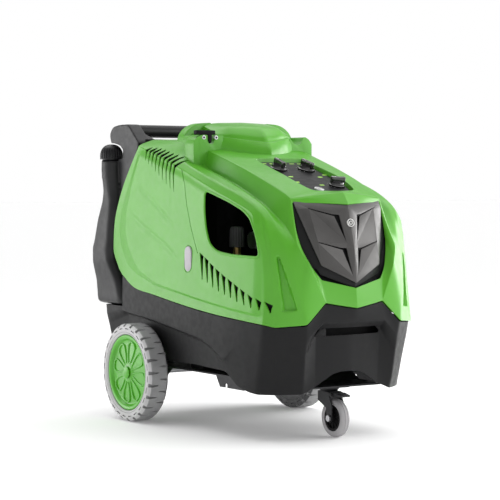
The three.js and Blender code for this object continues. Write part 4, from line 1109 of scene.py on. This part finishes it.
def rear_unit(label, side, tank):
    """A moulded tank with its filler neck, running up into the handle's upright."""
    levels = sample(TANK, [k / 5 for k in range((len(TANK) - 1) * 5 + 1)])
    body = loft("tank", [ring_points(level, side) for level in levels])
    neck = lathe("neck", [(0, -.06), (NECK["r"], -.06), (NECK["r"], -.004), (NECK["r"] - .003, 0), (0, 0)],
        64, "z", (side * NECK["x"], NECK["y"], NECK["top"]))
    upright = prism("upright", fillet(UPRIGHT, .012), "x", *sorted(side * x for x in UPRIGHT_SPAN))
    gusset = hull("gusset", [(side * x, y, z) for x, y, z in GUSSET])
    obj = remesh(merge(f"rear_unit_{label}", [body, neck, upright, gusset]), .0024, 7)
    cut(obj, cap_room(side))
    smooth(obj, 50)
    dress(obj, "tank_black", replaces=(tank, f"handle_upright_{label}"))


def cap_room(side):
    """The space scooped out of the upright round the filler cap, open to the outside and the front."""
    low = NECK["top"] + .0004
    points = []
    for r, z in ((.0415, low), (.0415, low + .03), (.03, low + .046), (.016, low + .052)):
        for shift in (0, 1):
            for x, y in circle(r, 40):
                points.append((side * (NECK["x"] + x + .055 * shift), NECK["y"] + y - .08 * shift, z))
    return hull("cap_room", points)


CAP_RIBS = 24
CAP_RIB_DEPTH = .0011


def filler_cap(side, node, body):
    """A domed cap with grip ribs all round and a smooth crown."""
    r, neck = .0365, .029
    profile = [(0, -.012), (neck, -.012), (neck, .0006), (r, .0006), (r + .0004, .003)]
    profile += [(r, .003 + .0095 * k / 5) for k in range(1, 6)]
    for k in range(1, 15):
        angle = k / 14 * math.pi / 2
        profile.append((max(0, r * math.cos(angle) ** .8), .0125 + .036 * math.sin(angle)))
    obj = lathe(f"{node}_dome", profile, 288)
    p = points_of(obj)
    radius = np.hypot(p[:, 0], p[:, 1])
    angle = np.arctan2(p[:, 1], p[:, 0])
    ribs = np.clip(np.cos(angle * CAP_RIBS) * 2.2, -1, 1) * CAP_RIB_DEPTH
    zone = ease((p[:, 2] - .004) / .003) * ease((.036 - p[:, 2]) / .01) * (radius > .012)
    scale = 1 + (ribs - CAP_RIB_DEPTH) * zone / np.maximum(radius, 1e-4)
    p[:, 0] *= scale
    p[:, 1] *= scale
    set_points(obj, p + np.array((side * NECK["x"], NECK["y"], NECK["top"])))
    dress(smooth(obj, 30), "tank_black", body=body, replaces=(node,))


def handle():
    bar = rod("grip_bar", "x", (0, 0, 0), .0175, -.226, .226, 72, .003)
    bar.data.transform(Matrix.Translation((0, .43, .897)) @ Matrix.Scale(1.16, 4, (0, 0, 1)))
    dress(smooth(bar, 40), "tank_black", replaces=("handle_bar",))
    eased_copy("rear_cover", "rear_panel", "black_shell", .0012, 3)


# ---- wheels ----
WHEEL = {"x": .303, "y": .21, "z": .15, "r": .15, "half": .035, "rim": .116}
LUGS = 24                       # round each shoulder of the tyre
PETALS = 8                      # loop-shaped ribs on the wheel's disc
PETAL_TURN = .2


def tyre(label, side):
    """A solid tyre: a grey tread, a pale outer sidewall and an inner sidewall darkened as painted shade, both
    sidewalls with lug pads, and slits that run in from both shoulders.
    """
    r, half, rim = WHEEL["r"], WHEEL["half"], WHEEL["rim"] + .0004
    outline = [(rim, -half + .0062), (.1005, -half + .0062), (.1005, -half + .0016),
        (rim + .004, -half + .0012), (r - .013, -half + .0002), (r - .0065, -half + .0022),
        (r, -half + .01), (r, half - .01), (r - .0065, half - .0022), (r - .013, half - .0002),
        (rim + .004, half - .0012), (rim, half - .006)]
    outline = [(out, side * x) for out, x in outline]
    centre = (side * WHEEL["x"], WHEEL["y"], WHEEL["z"])
    obj = face_out(lathe(f"tyre_body_{label}", fillet(outline, .0022, 4), 144, "x"))
    cutters = []
    for k in range(LUGS):
        for edge in (1, -1):
            angle = (k + (.25 if edge > 0 else .75)) / LUGS * TAU
            cutters.append(tread_slit(edge, angle))
            cutters.append(lug_dash(edge, angle + TAU / LUGS / 2))
    cut(obj, merge("tread_cutters", cutters))
    for edge in (1, -1):
        groove = lathe("groove", [(rim + .0065, half + .002), (rim + .0085, half + .002),
            (rim + .008, half - .0026), (rim + .007, half - .0026)], 144, "x")
        if edge < 0:
            flip(groove)
        cut(obj, groove)
    smooth(move(obj, centre), 38)
    dress(obj, "tyre_grey", body=f"wheel_{label}", replaces=(f"tyre_{label}",))
    obj.data.materials.append(FINISHES["tyre_side"])
    obj.data.materials.append(FINISHES["tyre_dark"])
    # Faces turned outward get the pale sidewall finish; faces turned inboard get tyre_dark, painted shade on
    # the inner sidewall and on the ring it reaches in over the disc.
    for face in obj.data.polygons:
        out = math.hypot(face.center.y - WHEEL["y"], face.center.z - WHEEL["z"])
        if side * face.normal.x > .45 and out < r - .002:
            face.material_index = 1
        elif side * face.normal.x < -.45:
            face.material_index = 2


def tread_slit(edge, angle):
    """A wedge cut across the tread, wide at the shoulder and running out to nothing."""
    half, r = WHEEL["half"], WHEEL["r"]
    tip, deep = .0012, .0095
    across = [(half + .002, -.006), (half + .002, .006), (tip, .0008), (tip, -.0008)]
    obj = loft("slit", [[(edge * x, t, h) for x, t in across] for h in (r - deep, r + .004)])
    obj.data.transform(Matrix.Rotation(angle, 4, "X"))
    return obj


def lug_dash(edge, angle):
    half, r = WHEEL["half"], WHEEL["r"]
    outline = fillet([(-.01, r - .017), (.01, r - .017), (.009, r - .0135), (-.009, r - .0135)], .001, 2)
    low, high = sorted((edge * (half - .0045), edge * (half + .003)))
    obj = prism("dash", outline, "x", low, high)
    obj.data.transform(Matrix.Rotation(angle, 4, "X"))
    return obj


def wheel(label, side):
    """The green disc: a dished face, a rolled rim and eight loop-shaped ribs round the hub."""
    half, rim = WHEEL["half"], WHEEL["rim"]
    face = half - .016
    profile = [(.0104, -half + .002), (.026, -half + .002), (.026, -.008), (rim - .01, -.008),
        (rim - .01, -half + .008), (rim - .0005, -half + .0066), (rim - .0005, half - .0066),
        (rim - .003, half - .0045), (rim - .007, half - .005), (rim - .012, half - .0075),
        (rim - .0175, face + .0005), (rim - .024, face), (.034, face + .004), (.026, face + .008),
        (.018, half - .0062), (.0104, half - .0058)]
    if side < 0:
        profile = [(r, -h) for r, h in profile]
    obj = lathe(f"disc_{label}", fillet(profile, .0016, 3), 120, "x")
    ribs = []
    for k in range(PETALS):
        ribs.append(petal(side, k * TAU / PETALS + PETAL_TURN, face))
    wheel_obj = merge(f"wheel_disc_{label}", [smooth(obj, 40), *ribs])
    dress(move(wheel_obj, (side * WHEEL["x"], WHEEL["y"], WHEEL["z"])), "wheel_green",
        body=f"wheel_{label}", replaces=(f"wheel_hub_{label}",))
    start = WHEEL["x"] + half - .0036
    cap = lathe(f"cap_{label}", [(0, .0006), (.0135, .0006), (.0195, .001), (.0195, .0024), (.014, .0052),
        (.007, .0063), (0, .0065)], 60, "x")
    if side < 0:
        flip(cap)
    dress(smooth(move(cap, (side * start, WHEEL["y"], WHEEL["z"])), 30), "wheel_green",
        body=f"wheel_{label}", replaces=(f"hub_cap_{label}",))


def petal(side, angle, face):
    """One loop-shaped rib: out along a radius, round the top and back."""
    half = [(.026, -.004), (.06, -.0165), (.084, -.0195), (.0925, -.012)]
    line = [*half, (.0945, 0), *mirrored(half)[len(half):]]
    path = []
    for r, t in fillet(line, .012, 4, closed=False):
        high = face + .0015 + .0045 * (1 - r / .1)
        path.append((side * high, r * math.cos(angle) - t * math.sin(angle),
            r * math.sin(angle) + t * math.cos(angle)))
    profile = mirrored([(-.003, -.006), (-.0026, .0008), (-.0014, .0024)], -1, 1)
    return smooth(sweep("rib", path, profile, [(side, 0, 0)] * len(path)), 50)


# ---- caster ----
CASTER = {"y": -.422, "z": .055, "r": .055, "half": .015}
SPOKES = 10
PEDAL_RIDGES = {"count": 5, "y": -.4495, "z": .1286, "step": .0042, "slope": .2157}


def caster():
    y, z, r, half = CASTER["y"], CASTER["z"], CASTER["r"], CASTER["half"]
    tread = mirrored([(.0384, -half + .002), (.046, -half + .0004), (r - .004, -half + .0022),
        (r - .0008, -.0085), (r, -.006), (r - .0012, -.0052), (r - .003, -.0046), (r - .0012, -.004),
        (r, -.0032)])
    obj = lathe("caster_ring", fillet(tread, .0008, 2), 96, "x", (0, y, z))
    grooves = [ring_cutter(edge * (half - .0014), edge * (half + .002), .0445, .0462, y, z)
        for edge in (1, -1)]
    cut(obj, *grooves)
    dress(smooth(obj, 40), "caster_pale", body="caster_wheel", replaces=("caster_tyre",))
    hub = mirrored([(.0064, -.0175), (.0125, -.0175), (.0128, -.009), (.029, -.0055), (.031, -.0118),
        (.0375, -.0118)])
    hub = lathe("hub", hub, 72, "x", (0, y, z))
    spokes = []
    for k in range(SPOKES):
        for edge in (1, -1):
            low, high = sorted((edge * .004, edge * .0104))
            spoke = prism("spoke", [(-.0011, .012), (.0011, .012), (.0011, .0305), (-.0011, .0305)], "x",
                low, high)
            spoke.data.transform(Matrix.Translation((0, y, z)) @ Matrix.Rotation(k * TAU / SPOKES, 4, "X"))
            spokes.append(spoke)
    dress(merge("caster_core", [smooth(hub, 40), *spokes]), "inner_black", body="caster_wheel",
        replaces=("caster_hub",))
    eased_copy("caster_fork", "caster_yoke", "steel_dark", .0011, 3, "caster_swivel")
    eased_copy("caster_axle", "caster_bolt", "zinc", .0007, 2, "caster_swivel")
    eased_copy("caster_plate", "caster_mount", "steel_dark", .0009, 2)
    pedal()


def ring_cutter(low, high, inner, outer, y, z):
    a, b = sorted((low, high))
    return lathe("ring", [(inner, a), (outer, a), (outer, b), (inner, b)], 96, "x", (0, y, z))


def pedal():
    """The brake's tread: a dished plate with grip ridges, on the fork's lugs."""
    outline = [(-.4185, .1178), (-.4185, .1265), (-.445, .1295), (-.4705, .124), (-.4705, .1186),
        (-.445, .1205)]
    obj = prism("brake_tread", fillet(outline, .0022), "x", -.0168, .0168)
    soften_edges(obj, .0012, 3)
    ridges = []
    for k in range(PEDAL_RIDGES["count"]):
        y = PEDAL_RIDGES["y"] - PEDAL_RIDGES["step"] * k
        z = PEDAL_RIDGES["z"] - PEDAL_RIDGES["slope"] * (PEDAL_RIDGES["y"] - y)
        ridges.append(smooth(rod("ridge", "x", (0, y, z), .0011, -.014, .014, 12, .0004), 50))
    dress(merge("brake_tread", [obj, *ridges]), "steel_dark", body="brake", replaces=("brake_pedal",))


# ---- what shows through the window and under the base ----
PRESSURE_KNOB = (-.15, -.131, .541)    # the foot of its axis


def pressure_knob():
    """The fluted pressure knob seen through the side window."""
    x, y, z = PRESSURE_KNOB
    profile = [(0, .0142), (.0064, .0142), (.0064, 0), (.021, 0), (.0228, .0015), (.0216, .048),
        (.0202, .056), (.017, .0605), (0, .062)]
    obj = lathe("pressure_dial", profile, 160)
    p = points_of(obj)
    radius = np.hypot(p[:, 0], p[:, 1])
    angle = np.arctan2(p[:, 1], p[:, 0])
    zone = (radius > .0185) * ease((p[:, 2] - .001) / .002)
    shrink = 1 - .0009 * (1 - np.clip(np.cos(angle * 16) * 2, -1, 1)) * zone / np.maximum(radius, 1e-4)
    p[:, :2] *= shrink[:, None]
    set_points(obj, p + np.array((x, y, z)))
    dress(smooth(obj, 35), "tyre_dark", body="pressure_adjuster",
        replaces=("pressure_knob",))


BEVELS = {"motor_body": .0015, "pump_crankcase": .004, "pump_head": .0025, "unloader_valve": .0008,
    "burner_housing": .001, "transformer": .003, "electrical_box": .003, "float_tank": .003,
    "water_inlet": .0008, "pressure_outlet": .0008, "cable_gland": .0008, "fuel_pump": .001,
    "exhaust_grille": .001, "chassis_tray": .0008, "motor_fan_cover": .001}


# The boiler shell, transformer and electrical box show through the window near black: painted shade inside
# the hood, not their own finish.
PAINTED_SHADE_LOOKS = {"boiler_shell": "inner_black", "transformer": "inner_black", "electrical_box": "inner_black"}


def kept_nodes():
    """The CAD pieces that show as they are, with their edges eased and their own finish, except the boiler
    shell, transformer and electrical box, which are given near black as painted shade.
    """
    slots = {row["node"]: row["material_slot"] for row in frame["record"]["subparts"]}
    for name, node in NODES.items():
        if node.hide_render:
            continue
        node.data.materials.clear()
        node.data.materials.append(FINISHES[PAINTED_SHADE_LOOKS.get(name, slots[name])])
        width = BEVELS.get(name, .0005)
        modify(node, "BEVEL", width=width, segments=2, limit_method="ANGLE", angle_limit=math.radians(40))
        smooth(node, 40)


# ---- the machine ----
hood()
top_cowl()
lance_clip()
console()
for setting in KNOBS:
    knob(*setting)
badge()
base()
louvre_shade_plates()
handle()
caster()
pressure_knob()
for label, side in SIDES:
    side_plug(label, side)
    tyre(label, side)
    wheel(label, side)
rear_unit("left", -1, "fuel_tank")
rear_unit("right", 1, "water_tank")
filler_cap(-1, "fuel_cap", "fuel_cap_turn")
filler_cap(1, "water_cap", "water_cap_turn")
kept_nodes()


# ---- stage ----
CAMERA_TURN = math.radians(-33.24)
CAMERA_TILT = math.radians(2.09)
CAMERA_PLACE = (-3.036, -4.605, .727)
LENS = 129.6                    # focal length and sensor width in mm
SENSOR = 36
FLOOR_REACH = 60
FLOOR_GLOW = .095
WALL_FADE = (("From Min", .16), ("From Max", .45), ("To Min", 1), ("To Max", .26))
SUN = {"power": 2.1, "spread": math.radians(80), "along": (-.3, -.08, -1)}
# Each softbox's name, place, target, size and power.
SOFTBOXES = (("left_rear", (-2.8, 2.9, 1), (0, 0, .5), (2.6, 1.8), 46), ("right_side", (3.3, -.5, 1.1),
    (0, -.2, .5), (2.4, 1.9), 80), ("right_front", (2.3, -3, 1.8), (0, 0, .5), (2, 2), 32),
    ("back_top", (-.6, 1.9, 3.1), (0, 0, .6), (1.9, 1.9), 20))


def aim(name, data, direction, location=(0, 0, 0)):
    """A camera or a light that looks in a direction."""
    obj = put(name, data)
    obj.location = location
    obj.rotation_mode = "QUATERNION"
    obj.rotation_quaternion = Vector(direction).to_track_quat("-Z", "Y")
    return obj


def camera():
    back = Vector((math.sin(CAMERA_TURN) * math.cos(CAMERA_TILT),
        -math.cos(CAMERA_TURN) * math.cos(CAMERA_TILT), math.sin(CAMERA_TILT)))
    data = bpy.data.cameras.new("camera")
    data.lens = LENS
    data.sensor_width = SENSOR
    bpy.context.scene.camera = aim("camera", data, -back, CAMERA_PLACE)


def softbox(name, location, target, size, power):
    data = bpy.data.lights.new(name, "AREA")
    data.shape = "RECTANGLE"
    data.size, data.size_y = size
    data.energy = power
    aim(name, data, Vector(target) - Vector(location), location).visible_camera = False


def overhead():
    """One very wide, soft light from straight above."""
    data = bpy.data.lights.new("overhead", "SUN")
    data.energy = SUN["power"]
    data.angle = SUN["spread"]
    aim("overhead", data, SUN["along"])


def sky():
    """A studio wall: white all round near the floor and dim higher up."""
    world = bpy.data.worlds.new("studio_wall")
    world.use_nodes = True
    tree = world.node_tree
    coordinates = tree.nodes.new("ShaderNodeTexCoord")
    split = tree.nodes.new("ShaderNodeSeparateXYZ")
    height = tree.nodes.new("ShaderNodeMapRange")
    for key, value in WALL_FADE:
        height.inputs[key].default_value = value
    tree.links.new(coordinates.outputs["Generated"], split.inputs["Vector"])
    tree.links.new(split.outputs["Z"], height.inputs["Value"])
    background = tree.nodes["Background"]
    background.inputs["Color"].default_value = (1, 1, 1, 1)
    tree.links.new(height.outputs["Result"], background.inputs["Strength"])
    bpy.context.scene.world = world


def studio():
    reach = FLOOR_REACH
    floor = make("floor", [(-reach, -reach, 0), (reach, -reach, 0), (reach, reach, 0), (-reach, reach, 0)],
        [(0, 1, 2, 3)])
    m = Nodes("floor_white")
    m.surface.inputs["Base Color"].default_value = (.93, .93, .93, 1)
    m.surface.inputs["Roughness"].default_value = .8
    m.surface.inputs["Specular IOR Level"].default_value = .1
    m.surface.inputs["Emission Color"].default_value = (1, 1, 1, 1)
    m.surface.inputs["Emission Strength"].default_value = FLOOR_GLOW
    m.join(m.bump(m.noise(30.0), .02, .001), m.surface.inputs["Normal"])
    floor.data.materials.append(m.material)
    sky()
    overhead()
    for settings in SOFTBOXES:
        softbox(*settings)
    bpy.context.scene.view_settings.view_transform = "Standard"


camera()
studio()
